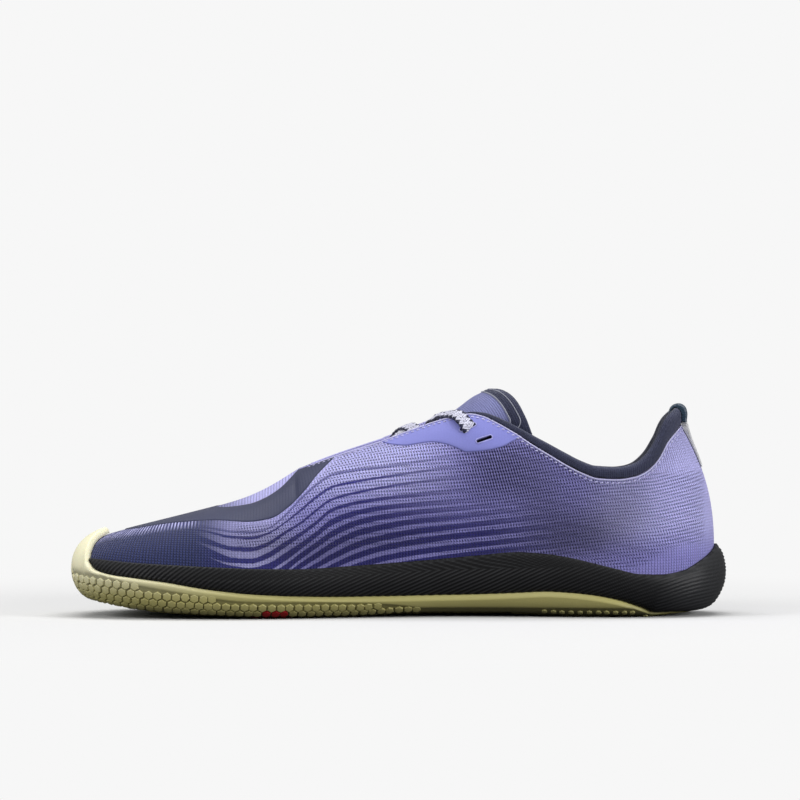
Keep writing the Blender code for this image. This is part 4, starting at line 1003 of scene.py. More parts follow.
def stitch_height(m, u, v, wale=1.25, course=1.15):
    """Relief of plain knitting: columns of V stitches."""
    cu = m.math("DIVIDE", u, wale)
    tri = m.math("PINGPONG", cu, 0.5)
    cv = m.math("ADD", m.math("DIVIDE", v, course), m.math("MULTIPLY", tri, 1.1))
    row = m.math("ABSOLUTE", m.math("SINE", m.math("MULTIPLY", cv, math.pi)))
    col = m.math("POWER", m.math("ABSOLUTE", m.math("SINE", m.math("MULTIPLY", cu, math.pi))), 0.6)
    return m.math("MULTIPLY", col, m.math("MULTIPLY_ADD", m.math("POWER", row, 0.7), 0.6, 0.4))


# ---------------------------------------------------------------- wave lines of the knit
# Heights in millimetres of the indigo lines on the flank, one row per line, at these stations.
WAVE_AT = (224.0, 214.0, 203.0, 196.0, 189.0, 182.5, 176.0, 169.5, 163.0, 152.5, 142.0, 128.5, 114.5, 94.0, 73.5, 53.0)
WAVES = (
    (38.0, 36.8, 35.2, 35.0, 36.4, 41.3, 48.3, 54.1, 58.2, 60.3, 61.5, 63.5, 66.0, 68.5, 70.0, 71.0),
    (37.2, 35.6, 33.5, 33.3, 35.0, 38.9, 43.8, 49.2, 53.3, 55.7, 57.4, 59.4, 61.5, 64.4, 66.0, 67.2),
    (35.2, 31.9, 28.7, 28.4, 30.5, 34.8, 38.6, 43.8, 48.3, 51.2, 53.3, 55.3, 57.0, 59.0, 60.3, 61.0),
    (32.4, 27.8, 24.1, 23.7, 26.1, 30.2, 34.3, 38.9, 44.2, 47.1, 48.7, 50.0, 51.6, 53.7, 55.3, 56.1),
    (29.2, 23.7, 20.4, 19.9, 21.2, 24.9, 29.4, 34.2, 39.3, 43.2, 45.0, 46.3, 47.5, 49.6, 51.2, 52.0),
    (26.4, 19.8, 16.4, 15.8, 17.0, 20.2, 25.2, 29.8, 34.3, 38.9, 41.3, 43.0, 44.2, 46.3, 48.3, 49.6),
    (22.8, 16.0, 12.6, 12.0, 13.4, 16.8, 21.4, 25.6, 29.8, 34.8, 37.2, 39.5, 40.9, 43.4, 45.4, 46.7),
    (19.0, 12.2, 8.8, 8.2, 9.8, 13.4, 17.8, 21.4, 24.9, 29.8, 32.7, 35.2, 36.8, 39.3, 41.7, 43.4),
    (15.2, 8.4, 5.0, 4.4, 6.2, 10.0, 14.2, 17.8, 21.0, 25.5, 28.6, 31.0, 33.1, 35.2, 37.2, 39.3),
    (11.4, 4.6, 1.2, 0.6, 2.6, 6.6, 10.6, 14.2, 17.4, 21.2, 24.1, 26.5, 28.2, 30.6, 33.1, 35.2),
    (7.6, 0.8, -2.6, -3.2, -1.0, 3.2, 7.0, 10.6, 13.6, 17.2, 20.2, 22.8, 24.9, 27.4, 29.4, 31.5),
    (3.8, -3.0, -6.4, -7.0, -4.6, -0.2, 3.4, 7.0, 9.8, 13.2, 16.2, 19.2, 21.4, 23.7, 25.7, 27.4),
    (0.0, -6.8, -10.2, -10.8, -8.2, -3.6, -0.2, 3.4, 6.0, 9.2, 12.2, 15.4, 17.8, 20.0, 22.0, 23.4),
)


def wave_number(d, z):
    """Which line passes through (d, z): 0 on the first line, 1 on the second and so on, smooth between."""
    shape = np.shape(d)
    d, z = np.ravel(d), np.ravel(z)
    at = np.array(WAVE_AT)[::-1]
    rows = np.array([steady(at, np.array(w)[::-1])(np.clip(d, at[0], at[-1])) for w in WAVES])
    k = np.arange(len(WAVES), dtype=float)
    top = rows[0] + 5.0
    rows = np.concatenate([top[None], rows, rows[-1:] - 4.0])
    k = np.concatenate([[-1.0], k, [len(WAVES)]])
    out = np.empty(len(d))
    for i in range(len(d)):
        out[i] = np.interp(z[i], rows[::-1, i], k[::-1])
    above = z > rows[0]
    out[above] = -1 - (z[above] - rows[0][above]) / 5.0
    return out.reshape(shape)


# ---------------------------------------------------------------- drawn edges on the flank
def boundary(points):
    """Height of a drawn edge at a station; out of reach where the edge isn't drawn."""
    d = np.array([p[0] for p in points])[::-1]
    z = np.array([p[1] for p in points])[::-1]
    f = steady(d, z)
    return lambda q: np.where((q < d[0]) | (q > d[-1]), 99.0, f(q))


FILM_LOW = boundary(((262.0, 31.0), (255.1, 33.9), (243.5, 36.0), (226.9, 38.6), (210.0, 39.7), (197.3, 39.3),
                     (187.8, 40.7), (180.4, 45.4), (174.2, 51.6), (168.9, 58.2), (162.3, 64.8), (160.0, 67.0)))
FILM_HIGH = boundary(((217.4, 44.9), (210.0, 44.5), (197.3, 46.0), (191.2, 48.1), (185.0, 51.7), (177.2, 59.4)))
STAY_LOW = boundary(((143.5, 71.9), (140.9, 70.9), (133.0, 70.1), (126.0, 71.2), (121.6, 71.6), (117.0, 70.9),
                     (112.1, 69.3), (108.0, 67.7), (102.8, 68.0), (94.0, 69.6), (88.7, 72.2), (85.0, 74.4)))


def crossing(tau, edge, start=1.0):
    """Level at which each rib climbs through a drawn edge, or 2 where it never does."""
    w = np.linspace(start, 2.0, 241)
    p = rib_point(rib_frame(tau), np.broadcast_to(w, (len(tau), len(w))))
    out = np.full(len(tau), 2.0)
    for i in range(len(tau)):
        g = p[i, :, 2] - edge(p[i, :, 0])
        k = np.where((g[:-1] < 0) & (g[1:] >= 0) & (g[1:] < 40) & (g[:-1] > -40))[0]
        if len(k):
            j = k[-1]
            out[i] = w[j] + (w[j + 1] - w[j]) * (-g[j]) / (g[j + 1] - g[j])
        elif g[0] >= 0 and g[-1] >= 0:
            out[i] = start
    return out


# ---------------------------------------------------------------- materials
def knit_material():
    m = Nodes("knit_waves")
    u, v = m.uv()
    height = stitch_height(m, u, v)
    wobble = m.math("MULTIPLY", m.math("SUBTRACT", m.noise(900, 2.0), 0.5), 0.16)
    wave = m.math("ADD", m.attr("wave"), wobble)
    off = m.math("ABSOLUTE", m.math("SUBTRACT", m.math("FRACT", m.math("ADD", wave, 1000.5)), 0.5))
    half = m.math("MULTIPLY", m.attr("line"), 0.5)
    gap = m.math("SUBTRACT", off, half)
    line = m.math("SUBTRACT", 1.0, m.step(gap, -0.05, 0.05))
    line = m.math("MULTIPLY", line, m.attr("fade"), clamp=True)
    # open mesh: dark holes between the wales
    hu = m.math("SINE", m.math("MULTIPLY", m.math("ADD", u, m.math("MULTIPLY", v, -0.30)), 2 * math.pi / 1.16))
    hv = m.math("SINE", m.math("MULTIPLY", m.math("ADD", v, m.math("MULTIPLY", u, 0.10)), 2 * math.pi / 1.42))
    pattern = m.math("MULTIPLY_ADD", hu, 0.62, m.math("MULTIPLY", hv, 0.42))
    dots = m.step(m.math("ADD", pattern, m.math("MULTIPLY_ADD", m.attr("holes"), 0.78, -0.80)), -0.22, 0.30)
    dots = m.math("MULTIPLY", dots, m.step(m.attr("holes"), 0.0, 0.35), clamp=True)
    ribs = m.step(m.math("SINE", m.math("MULTIPLY", u, 2 * math.pi / 1.5)), -0.1, 0.5)
    cloud = m.noise(38, 3.0)
    fleck = m.noise(1500, 2.0)
    light = m.mix(m.attr("tint"), lin(122, 117, 197), lin(198, 196, 252))
    light = m.scale_colour(light, m.math("MULTIPLY_ADD", cloud, 0.22, 0.89))
    light = m.scale_colour(light, m.math("MULTIPLY_ADD", fleck, 0.5, 0.75))
    dark = m.scale_colour(m.mix(m.attr("tint"), lin(46, 44, 116), lin(62, 60, 146)), m.math("MULTIPLY_ADD", fleck, 0.8, 0.6))
    # painted shade and highlight: the navy toe is dark in the stitch hollows and light on the stitch tops
    toe = m.scale_colour(m.mix(height, lin(16, 20, 49), lin(51, 60, 109)), m.math("MULTIPLY_ADD", fleck, 0.7, 0.65))
    yarn = m.mix(line, light, dark)
    yarn = m.mix(m.attr("navy"), yarn, toe)
    stripe = m.mix(ribs, lin(52, 56, 112), lin(196, 196, 246))
    yarn = m.mix(m.attr("stripe"), yarn, stripe)
    yarn = m.mix(dots, yarn, m.mix(m.attr("holes"), lin(60, 58, 128), lin(30, 29, 80)))
    # painted shade in the hollows between the stitches
    yarn = m.scale_colour(yarn, m.math("MULTIPLY_ADD", height, 0.42, 0.66))
    # painted light mixed with the knit's own tone: the patches darken the low flank as painted shade and lighten the
    # upper flank and heel as painted highlight
    yarn = m.scale_colour(yarn, m.math("ADD", m.attr("knit_tone_and_painted_light"), 1.0))
    relief = m.math("SUBTRACT", height, m.math("MULTIPLY", dots, 1.2))
    return m.finish(yarn, 0.86, relief, 0.0005, sheen=0.25, sheen_tint=(0.8, 0.8, 1.0), spec=0.25)


def film_material(name, base, low, wales=1.0):
    """Thin smooth film over the knit, with the wales just showing through."""
    m = Nodes(name)
    u, v = m.uv()
    wale = m.math("ABSOLUTE", m.math("SINE", m.math("MULTIPLY", u, math.pi / 1.25)))
    cloud = m.noise(60, 4.0)
    fine = m.noise(2200, 2.0)
    c = m.mix(m.math("MULTIPLY_ADD", cloud, 0.8, 0.1), low, base)
    c = m.scale_colour(c, m.math("MULTIPLY_ADD", wale, 0.09 * wales, 1.0 - 0.06 * wales))
    c = m.scale_colour(c, m.math("MULTIPLY_ADD", fine, 0.16, 0.92))
    relief = m.math("MULTIPLY_ADD", wale, 0.25 * wales, m.math("MULTIPLY", fine, 0.35))
    rough = m.range(cloud, 0.2, 0.8, 0.5, 0.62)
    return m.finish(c, rough, relief, 0.00018, sheen=0.1, spec=0.4)


def cloth_material(name, base, dark, wale=0.9, course=0.8, melange=0.45, sheen=0.35, depth=0.00028, second=None):
    """Fine melange knit of the collar, tongue and lining."""
    m = Nodes(name)
    u, v = m.uv()
    height = stitch_height(m, u, v, wale, course)
    fleck = m.noise(1300, 3.0, 0.7)
    cloud = m.noise(55, 3.0)
    mixer = m.math("MULTIPLY_ADD", m.math("SUBTRACT", fleck, 0.5), 2.4 * melange, 0.5, clamp=True)
    c = m.mix(mixer, dark, base)
    if second:
        c = m.mix(m.step(m.attr(second[0]), 0.25, 0.75), c, m.mix(mixer, second[2], second[1]))
    # painted shade in the hollows between the stitches
    c = m.scale_colour(c, m.math("MULTIPLY_ADD", height, 0.4, 0.7))
    c = m.scale_colour(c, m.math("MULTIPLY_ADD", cloud, 0.2, 0.9))
    return m.finish(c, 0.88, height, depth, sheen=sheen, sheen_tint=(0.75, 0.78, 0.95), spec=0.25)


def sole_material(name="sole_rubber"):
    """Matt yellowish gum rubber with painted light: paler and creamier up on the toe bumper as a painted highlight,
    darker low down and between the pods as painted shade.
    """
    m = Nodes(name)
    z = m.attr("high")
    speck = m.noise(1700, 2.0)
    cloud = m.noise(28, 4.0)
    # painted highlight and shade: cream high on the wall and toe bumper where the top light falls, olive lower down
    c = m.mix(m.step(z, 7.0, 23.0), lin(180, 173, 110), lin(248, 243, 208))
    # painted shade: the wall near the floor at half brightness
    c = m.mix(m.step(z, 0.0, 7.0), m.scale_colour(c, 0.52), c)
    # painted shade between the pods and under the sole
    c = m.scale_colour(c, m.math("MULTIPLY_ADD", m.attr("pit"), -0.52, 1.0))
    c = m.scale_colour(c, m.math("MULTIPLY_ADD", cloud, 0.14, 0.93))
    c = m.scale_colour(c, m.math("MULTIPLY_ADD", speck, 0.10, 0.95))
    grain = m.math("ADD", m.math("MULTIPLY", speck, 0.7), m.math("MULTIPLY", m.noise(420, 3.0), 0.5))
    rough = m.range(cloud, 0.25, 0.75, 0.42, 0.55)
    mat = m.finish(c, rough, grain, 0.00008, spec=0.45)
    m.shader.inputs["Subsurface Weight"].default_value = 0.06
    m.shader.inputs["Subsurface Radius"].default_value = (0.002, 0.0015, 0.0008)
    return mat


def red_material():
    m = Nodes("red_rubber")
    speck = m.noise(1500, 2.0)
    c = m.scale_colour(m.mix(m.noise(60, 3.0), lin(128, 10, 14), lin(158, 18, 22)), m.math("MULTIPLY_ADD", speck, 0.2, 0.9))
    return m.finish(c, 0.45, speck, 0.00008, spec=0.45)


def rand_material():
    """Black rubber with a painted highlight, patchy like scuffing, on the crests of its ribs, along its top edge and
    round the heel.
    """
    m = Nodes("rand_rubber")
    crest = m.attr("crest")
    speck = m.noise(1600, 3.0)
    cloud = m.noise(34, 4.0)
    # painted highlight: the crests, the top edge and the heel turn pale grey
    c = m.mix(m.math("MULTIPLY", m.math("POWER", crest, 3.0), m.math("MULTIPLY_ADD", cloud, 0.8, 0.2)), lin(6, 6, 8), lin(62, 63, 66))
    c = m.scale_colour(c, m.math("MULTIPLY_ADD", speck, 0.5, 0.75))
    rough = m.range(cloud, 0.2, 0.8, 0.40, 0.56)
    return m.finish(c, rough, speck, 0.00010, spec=0.23)


def braid_material():
    m = Nodes("lace_braid")
    u, v = m.uv()
    across = m.math("ABSOLUTE", v)
    zig = m.math("PINGPONG", m.math("DIVIDE", u, 1.25), 1.0)
    edge = m.step(m.math("SUBTRACT", across, m.math("MULTIPLY_ADD", zig, 0.52, 0.40)), -0.06, 0.08)
    middle = m.math("SUBTRACT", 1.0, m.step(m.math("ABSOLUTE", m.math("SUBTRACT", across, 0.17)), 0.02, 0.07))
    dash = m.step(m.math("SINE", m.math("MULTIPLY", u, 2 * math.pi / 2.1)), -0.3, 0.1)
    middle = m.math("MULTIPLY", middle, m.math("MULTIPLY", dash, 0.75))
    plait = m.math("ABSOLUTE", m.math("SINE", m.math("MULTIPLY", m.math("ADD", m.math("DIVIDE", u, 0.9), m.math("MULTIPLY", across, 1.6)), math.pi)))
    fleck = m.noise(2200, 2.0)
    # painted shade between the plaits: both yarn colours are darker in the plait grooves
    light = m.scale_colour(m.mix(m.noise(70), lin(216, 216, 242), lin(236, 236, 252)), m.math("MULTIPLY_ADD", plait, 0.3, 0.72))
    dark = m.scale_colour(lin(30, 33, 68), m.math("MULTIPLY_ADD", plait, 0.6, 0.6))
    c = m.mix(m.math("MAXIMUM", edge, middle), light, dark)
    c = m.scale_colour(c, m.math("MULTIPLY_ADD", fleck, 0.3, 0.85))
    return m.finish(c, 0.8, m.math("ADD", plait, m.math("MULTIPLY", fleck, 0.4)), 0.00035, sheen=0.3, spec=0.3)


def thread_material(name, base):
    m = Nodes(name)
    u, v = m.uv()
    twist = m.math("ABSOLUTE", m.math("SINE", m.math("MULTIPLY", m.math("ADD", m.math("DIVIDE", u, 0.6), v), math.pi)))
    fleck = m.noise(2600, 2.0)
    # painted shade in the grooves of the twist
    c = m.scale_colour(base, m.math("MULTIPLY_ADD", twist, 0.25, 0.8))
    c = m.scale_colour(c, m.math("MULTIPLY_ADD", fleck, 0.3, 0.85))
    return m.finish(c, 0.6, twist, 0.0001, sheen=0.2)


def woven_material(name, base, dark, pitch=0.7):
    m = Nodes(name)
    u, v = m.uv()
    a = m.math("SINE", m.math("MULTIPLY", u, 2 * math.pi / pitch))
    b = m.math("SINE", m.math("MULTIPLY", v, 2 * math.pi / pitch))
    weave = m.math("MULTIPLY_ADD", m.math("MULTIPLY", a, b), 0.5, 0.5)
    fleck = m.noise(1800, 2.0)
    c = m.mix(weave, dark, base)
    c = m.scale_colour(c, m.math("MULTIPLY_ADD", fleck, 0.35, 0.82))
    return m.finish(c, 0.75, weave, 0.0002, sheen=0.25, spec=0.3)


MATS = {
    "knit": knit_material(),
    "lining": cloth_material("lining_knit", lin(44, 48, 70), lin(20, 22, 34), 1.1, 1.0, 0.5, 0.3),
    "stay": film_material("stay_film", lin(138, 141, 213), lin(120, 123, 199), 0.12),
    "film": film_material("vamp_film", lin(52, 57, 89), lin(38, 42, 70)),
    # collar: darker on its inner face, partly a darker lining yarn and partly painted shade inside the opening
    "collar": cloth_material("collar_knit", lin(65, 69, 97), lin(31, 33, 51), 0.9, 0.8, 0.6, 0.35,
                             second=("inside", lin(34, 36, 52), lin(16, 17, 28))),
    "tongue": cloth_material("tongue_knit", lin(142, 145, 194), lin(112, 115, 166), 0.9, 0.8, 0.35, 0.3,
                             second=("bound", lin(58, 62, 90), lin(30, 32, 50))),
    "sole": sole_material(),
    "red": red_material(),
    "rand": rand_material(),
    "braid": braid_material(),
    "thread": thread_material("light_thread", lin(206, 204, 246)),
    "grey_thread": thread_material("grey_thread", lin(150, 152, 168)),
    "edge_thread": thread_material("slot_edge", lin(172, 172, 232)),
    "footbed": cloth_material("footbed_cloth", lin(66, 68, 86), lin(38, 40, 52), 1.0, 1.0, 0.6, 0.4),
    "tab": woven_material("tab_weave", lin(50, 76, 98), lin(26, 41, 58), 0.8),
    "tape": woven_material("tape_weave", lin(222, 222, 224), lin(188, 188, 192), 0.6),
}


# ---------------------------------------------------------------- soft shape of the knit
# Shallow folds and swells, listed one by one: station, height, side (0 both), run, width, turn, height of it.
FOLDS = (
    (196.0, 40.0, 0, 16.0, 5.0, 24.0, -0.45),
    (187.0, 46.0, 0, 14.0, 4.5, 34.0, 0.40),
    (207.0, 36.0, -1, 15.0, 5.0, 12.0, 0.35),
    (172.0, 40.0, -1, 20.0, 6.0, 48.0, -0.35),
    (214.0, 30.0, 1, 16.0, 5.0, 16.0, -0.40),
    (176.0, 36.0, 1, 18.0, 6.0, 40.0, 0.35),
    (150.0, 44.0, 0, 26.0, 9.0, 12.0, 0.40),
    (98.0, 44.0, 0, 26.0, 9.0, 8.0, -0.35),
    (60.0, 40.0, 0, 18.0, 7.0, -16.0, 0.40),
    (44.0, 44.0, 0, 16.0, 6.0, -30.0, -0.40),
    (30.0, 62.0, 0, 9.0, 7.0, 60.0, -0.35),
    (36.0, 30.0, 0, 16.0, 6.0, -20.0, 0.30),
)


def soft(tau, w):
    """How far the knit swells or folds at (tau, w)."""
    tau = np.atleast_1d(tau)
    w = np.broadcast_to(w, (len(tau), np.shape(w)[-1])) if np.ndim(w) == 1 else w
    p = rib_point(rib_frame(tau), w)
    side = side_of(tau)[1][:, None]
    out = np.zeros(w.shape)
    for d, z, s, run, wide, turn, high in FOLDS:
        a = math.radians(turn)
        dx, dz = d - p[..., 0], p[..., 2] - z
        x, y = dx * math.cos(a) + dz * math.sin(a), -dx * math.sin(a) + dz * math.cos(a)
        out += high * np.exp(-(x / run) ** 2 - (y / wide) ** 2) * np.where((s == 0) | (side == s), 1, 0)
    return out * ease((2 - w) / 0.22) * ease((w - 1.0) / 0.2)


def skin(tau, w, away=0.0):
    tau = np.atleast_1d(np.asarray(tau, float))
    w = np.asarray(w, float)
    w = np.broadcast_to(w, (len(tau), w.shape[-1])) if w.ndim == 1 else w
    return last_point(tau, w, np.broadcast_to(away, w.shape) + soft(tau, w))


THROAT_TAU = float(HALF_TAU[THROAT_INDEX])


def fine_half(back, front):
    return np.concatenate([np.linspace(0, THROAT_TAU, back + 1), np.linspace(THROAT_TAU, 1, front + 1)[1:]])


def mirror(half):
    return np.concatenate([half, 2 - half[-2:0:-1]])


def mm_uv(tau, w):
    """Texture place in millimetres: round the shoe, and up the rib."""
    w = np.broadcast_to(w, (len(tau), np.shape(w)[-1])) if np.ndim(w) == 1 else w
    u = np.broadcast_to(arc(tau)[:, None], w.shape)
    return np.stack([u, rib_lengths(tau, w)], -1)


# Patches where the knit is made lighter or darker, partly the knit's own denser or opener tone and partly painted
# light, painted shade low on the flank and painted highlight higher up and on the heel: station, height, run, width,
# how much lighter.
TONE_AND_LIGHT_PATCHES = (
    (43.0, 45.0, 15.0, 16.0, -0.34),
    (60.0, 34.0, 20.0, 13.0, -0.48),
    (94.0, 62.0, 13.0, 10.0, -0.20),
    (28.0, 68.0, 10.0, 8.0, -0.12),
    (172.0, 25.0, 18.0, 6.0, -0.24),
    (150.0, 34.0, 28.0, 9.0, -0.14),
    (74.0, 28.0, 16.0, 7.0, -0.14),
    (76.0, 52.0, 14.0, 19.0, -0.34),
    (27.0, 53.0, 9.0, 11.0, 0.10),
    (18.0, 33.0, 9.0, 12.0, 0.10),
    (124.0, 68.0, 15.0, 8.0, 0.22),
    (192.0, 31.0, 16.0, 10.0, -0.42),
    (150.0, 27.0, 34.0, 9.0, -0.26),
    (108.0, 28.0, 26.0, 8.0, -0.12),
)


def knit_values(p):
    """Where the lines, the mesh and the navy toe are."""
    d, z = p[..., 0], p[..., 2]
    px = 728.6 - d / 0.4113
    phi = wave_number(d, z)
    base = 0.24 + 0.34 * ease((phi - 2.0) / 2.6)
    base = base + 0.14 * ease((d - 165) / 20) * ease((40 - z) / 10)
    tip = 168 + 15.5 * (np.maximum(phi, 1.0) - 1.5)
    t = np.clip((px - tip) / 46, 0, 1)
    wide = np.where(phi > 0.93, 1.15 - (1.15 - base) * t, base)
    low = FILM_LOW(d) - 1.3
    front = (d > 222)
    wide = np.where(front, np.where(z < low, 1.2, 0.0), wide)
    low_part = ease((50 - z) / 16)
    fade = ease((d - 92) / 62) * (1 - low_part) + ease((d - 56) / 46) * low_part
    fade = np.where(wide > 1.0, 1.0, fade)
    fade = fade * np.where((phi < 0.6) & (d < 222), ease((phi + 0.55) / 0.5) * (0.35 + 0.65 * ease((phi + 0.5) / 1.0)), 1.0)
    navy = ease((262 - px) / 70)
    stripe = ease((d - 214) / 10) * np.clip((z - (low - 1.6)) / 2.0, 0, 1) * (FILM_LOW(d) < 90)
    mesh = ease((d - 42) / 14) * ease((132 - d) / 36) * ease((z - 21) / 7) * ease((74.5 + (d - 110) * 0.02 - z) / 5)
    mesh = mesh * (0.62 + 0.38 * ease((z - 44) / 12) * ease((d - 70) / 20))
    mesh = np.maximum(mesh, 0.42 * ease((d - 8) / 5) * ease((66 - d) / 12) * ease((z - 27 + 10 * ease((d - 18) / 24)) / 6) * ease((62 - z) / 6))
    mesh = np.maximum(mesh, 0.44 * ease((d - 104) / 10) * ease((206 - d) / 8) * ease((z - 27) / 4) * ease((FILM_LOW(d) - z) / 3))
    tint = 0.25 + 0.75 * ease((z - 40) / 22) * ease((d - 100) / 40) + 0.55 * ease((d - 172) / 20) + 0.60 * ease((66 - d) / 24) * ease((z - 24) / 16)
    # partly painted light: painted shade low on the flank, painted highlight higher up and on the heel, over the
    # knit's own denser and opener tone
    knit_tone_and_painted_light = sum(a * np.exp(-((d - sd) / run) ** 2 - ((z - sz) / wide_) ** 2) for sd, sz, run, wide_, a in TONE_AND_LIGHT_PATCHES)
    return dict(wave=phi, line=wide, fade=fade, navy=navy, stripe=stripe, holes=mesh, tint=np.clip(tint, 0, 1), knit_tone_and_painted_light=knit_tone_and_painted_light)


KNIT_VALUES = ("wave", "line", "fade", "navy", "stripe", "holes", "tint", "knit_tone_and_painted_light")


def ridge_pairs(p, half_count, throat):
    """Both sides of the vamp end on the very same points."""
    n = p.shape[0]
    for i in range(throat, half_count - 1):
        j = n - i
        p[i, -1] = p[j, -1] = (p[i, -1] + p[j, -1]) / 2
    return p


def build_upper():
    back, front = 132, 66
    half = fine_half(back, front)
    tau = mirror(half)
    w = np.concatenate([[0, 0.3, 0.6], np.linspace(0.78, 1.0, 7), np.linspace(1.0, 2.0, 82)[1:]])
    outer = ridge_pairs(skin(tau, w), len(half), back)
    s = Sheet(KNIT_VALUES)
    uv = mm_uv(tau, w)
    s.grid(outer, uv, wrap=True, slot=0, **knit_values(outer))
    wi = np.array([0, 0.3, 0.6, 0.85, 1.0, 1.1, 1.2, 1.3, 1.4, 1.5, 1.6, 1.7, 1.8, 1.88, 1.94, 1.975, 2.0])
    inner = ridge_pairs(last_point(tau, wi, -KNIT), len(half), back)
    s.grid(inner, mm_uv(tau, wi), wrap=True, slot=1)
    s.grid(np.stack([outer[:, 0], inner[:, 0]], 1), wrap=True, slot=1)
    n = back
    edge = np.concatenate([np.arange(len(tau) - n, len(tau)), np.arange(0, n + 1)])
    roll = [outer[edge, -1]]
    up = rib_point(rib_frame(tau), np.full(len(tau), 2.0)) - rib_point(rib_frame(tau), np.full(len(tau), 1.985))
    up /= np.linalg.norm(up, axis=1)[:, None]
    fall = np.clip((THROAT_D - top_d(top_q(tau))) / 3, 0, 1)[:, None]
    for f in (0.2, 0.5, 0.8):
        lift = up * (0.28 * math.sin(math.pi * f)) * fall
        roll.append((outer[:, -1] * (1 - f) + inner[:, -1] * f + lift)[edge])
    roll.append(inner[edge, -1])
    roll = np.stack(roll, 1)
    ruv = np.stack([np.broadcast_to(arc(tau[edge])[:, None], roll.shape[:2]), np.broadcast_to(np.arange(5) * 0.4, roll.shape[:2])], -1)
    s.grid(roll, ruv, slot=0, tint=0.5)
    obj = s.make("upper_knit", [MATS["knit"], MATS["lining"]])
    return obj


# ---------------------------------------------------------------- bonded films
def film_levels(lo, hi, steps, rim=0.010):
    f = np.linspace(0, 1, steps)
    w = lo[:, None] + (hi - lo)[:, None] * f
    w[:, 1] = np.minimum(lo + rim, (lo + hi) / 2)
    w[:, -2] = np.maximum(hi - rim, (lo + hi) / 2)
    return np.sort(w, axis=1)


def film_side(s, tau, lo, hi, steps, thick, ridge, under=0.05):
    w = film_levels(lo, hi, steps)
    rise = np.full(w.shape, under + thick)
    rise[:, 0] = under + 0.35 * thick
    open_hi = ~ridge
    rise[open_hi, -1] = under + 0.35 * thick
    outer, inner = skin(tau, w, rise), skin(tau, w, under)
    uv = mm_uv(tau, w)
    s.grid(outer, uv)
    s.grid(inner, uv, flip=True)
    s.grid(np.stack([outer[:, 0], inner[:, 0]], 1), uv[:, :2])
    for i in range(len(tau) - 1):
        if not (ridge[i] and ridge[i + 1]):
            s.grid(np.stack([outer[i:i + 2, -1], inner[i:i + 2, -1]], 1), uv[i:i + 2, -2:])
    for end in (0, -1):
        if abs(tau[end] - 1.0) > 1e-9:
            s.grid(np.stack([outer[end], inner[end]], 1), np.stack([uv[end], uv[end]], 1))


def build_vamp_film():
    s = Sheet()
    t = np.concatenate([np.linspace(0.5, THROAT_TAU, 150)[:-1], np.linspace(THROAT_TAU, 1.0, 110)])
    for tau in (t, 2 - t[::-1]):
        lo, hi = crossing(tau, FILM_LOW), crossing(tau, FILM_HIGH, 1.2)
        hi = np.maximum(hi, lo)
        keep = np.where(hi - lo > 4e-3)[0]
        tau, lo, hi = tau[keep[0]:keep[-1] + 1], lo[keep[0]:keep[-1] + 1], hi[keep[0]:keep[-1] + 1]
        td = top_d(top_q(tau))
        ridge = (hi > 1.9999) & (td >= THROAT_D - 1e-6)
        film_side(s, tau, lo, hi, 26, 0.22, ridge)
    return s.make("vamp_film", [MATS["film"]])


def build_eyestay(side):
    s = Sheet()
    t = np.linspace(0.2, 0.62, 320)
    lo = crossing(t, STAY_LOW, 1.2)
    keep = np.where(2 - lo > 4e-3)[0]
    t, lo = t[keep[0]:keep[-1] + 1], lo[keep[0]:keep[-1] + 1]
    tau = t if side < 0 else 2 - t[::-1]
    lo = lo if side < 0 else lo[::-1]
    film_side(s, tau, lo, np.full(len(tau), 1.994), 16, 0.32, np.zeros(len(tau), bool))
    return s.make("eyestay_medial" if side < 0 else "eyestay_lateral", [MATS["stay"]])


# ---------------------------------------------------------------- places on the flank
def find_on_flank(d, z, side, lift=0.0):
    """The flank's point at (d, z), with its directions forward and up along the knit, and its normal."""
    t, w = float(_tau_at_d(np.clip(d, 6, 266))), 1.8
    goal = np.array([d, z])
    f = lambda t, w: rib_point(rib_frame(np.array([t])), np.array([w]))[0]
    for _ in range(40):
        p = f(t, w)
        e = goal - p[[0, 2]]
        jt, jw = (f(t + 1e-3, w) - p)[[0, 2]] / 1e-3, (f(t, w - 1e-3) - p)[[0, 2]] / -1e-3
        step = np.linalg.solve(np.stack([jt, jw], 1), e)
        t, w = float(np.clip(t + step[0], 0.01, 0.99)), float(np.clip(w + step[1], 1.0, 2.0))
    tau = t if side < 0 else 2 - t
    return flank_frame(tau, w, lift)


def flank_frame(tau, w, lift=0.0):
    e = 2e-3
    wc = min(w, 1.995)
    p = skin(np.array([tau]), np.array([[w]]), lift)[0, 0]
    a = (skin(np.array([tau + e]), np.array([[wc]]), lift) - skin(np.array([tau - e]), np.array([[wc]]), lift))[0, 0]
    b = (skin(np.array([tau]), np.array([[wc + e]]), lift) - skin(np.array([tau]), np.array([[wc - e]]), lift))[0, 0]
    ahead = a / np.linalg.norm(a) * (1 if a[0] > 0 else -1)
    up = b - ahead * (b @ ahead)
    up /= np.linalg.norm(up)
    n = np.cross(ahead, up)
    mid = np.array([p[0], float(midline_y(p[0])), p[2] - 30])
    n *= 1 if n @ (p - mid) > 0 else -1
    return p, ahead, up, n


# Lace slots, one ahead of the other: the two ends of each, as station and height.
SLOTS = (((110.5, 76.3), (104.3, 78.9)), ((103.9, 71.8), (97.7, 73.8)))


def slot_place(k, side):
    (d0, z0), (d1, z1) = SLOTS[k]
    a, b = find_on_flank(d0, z0, side), find_on_flank(d1, z1, side)
    c = find_on_flank((d0 + d1) / 2, (z0 + z1) / 2, side)
    run = b[0] - a[0]
    length = np.linalg.norm(run)
    run /= length
    n = c[3] - run * (c[3] @ run)
    n /= np.linalg.norm(n)
    return (a[0] + b[0]) / 2, run, np.cross(n, run), n, length


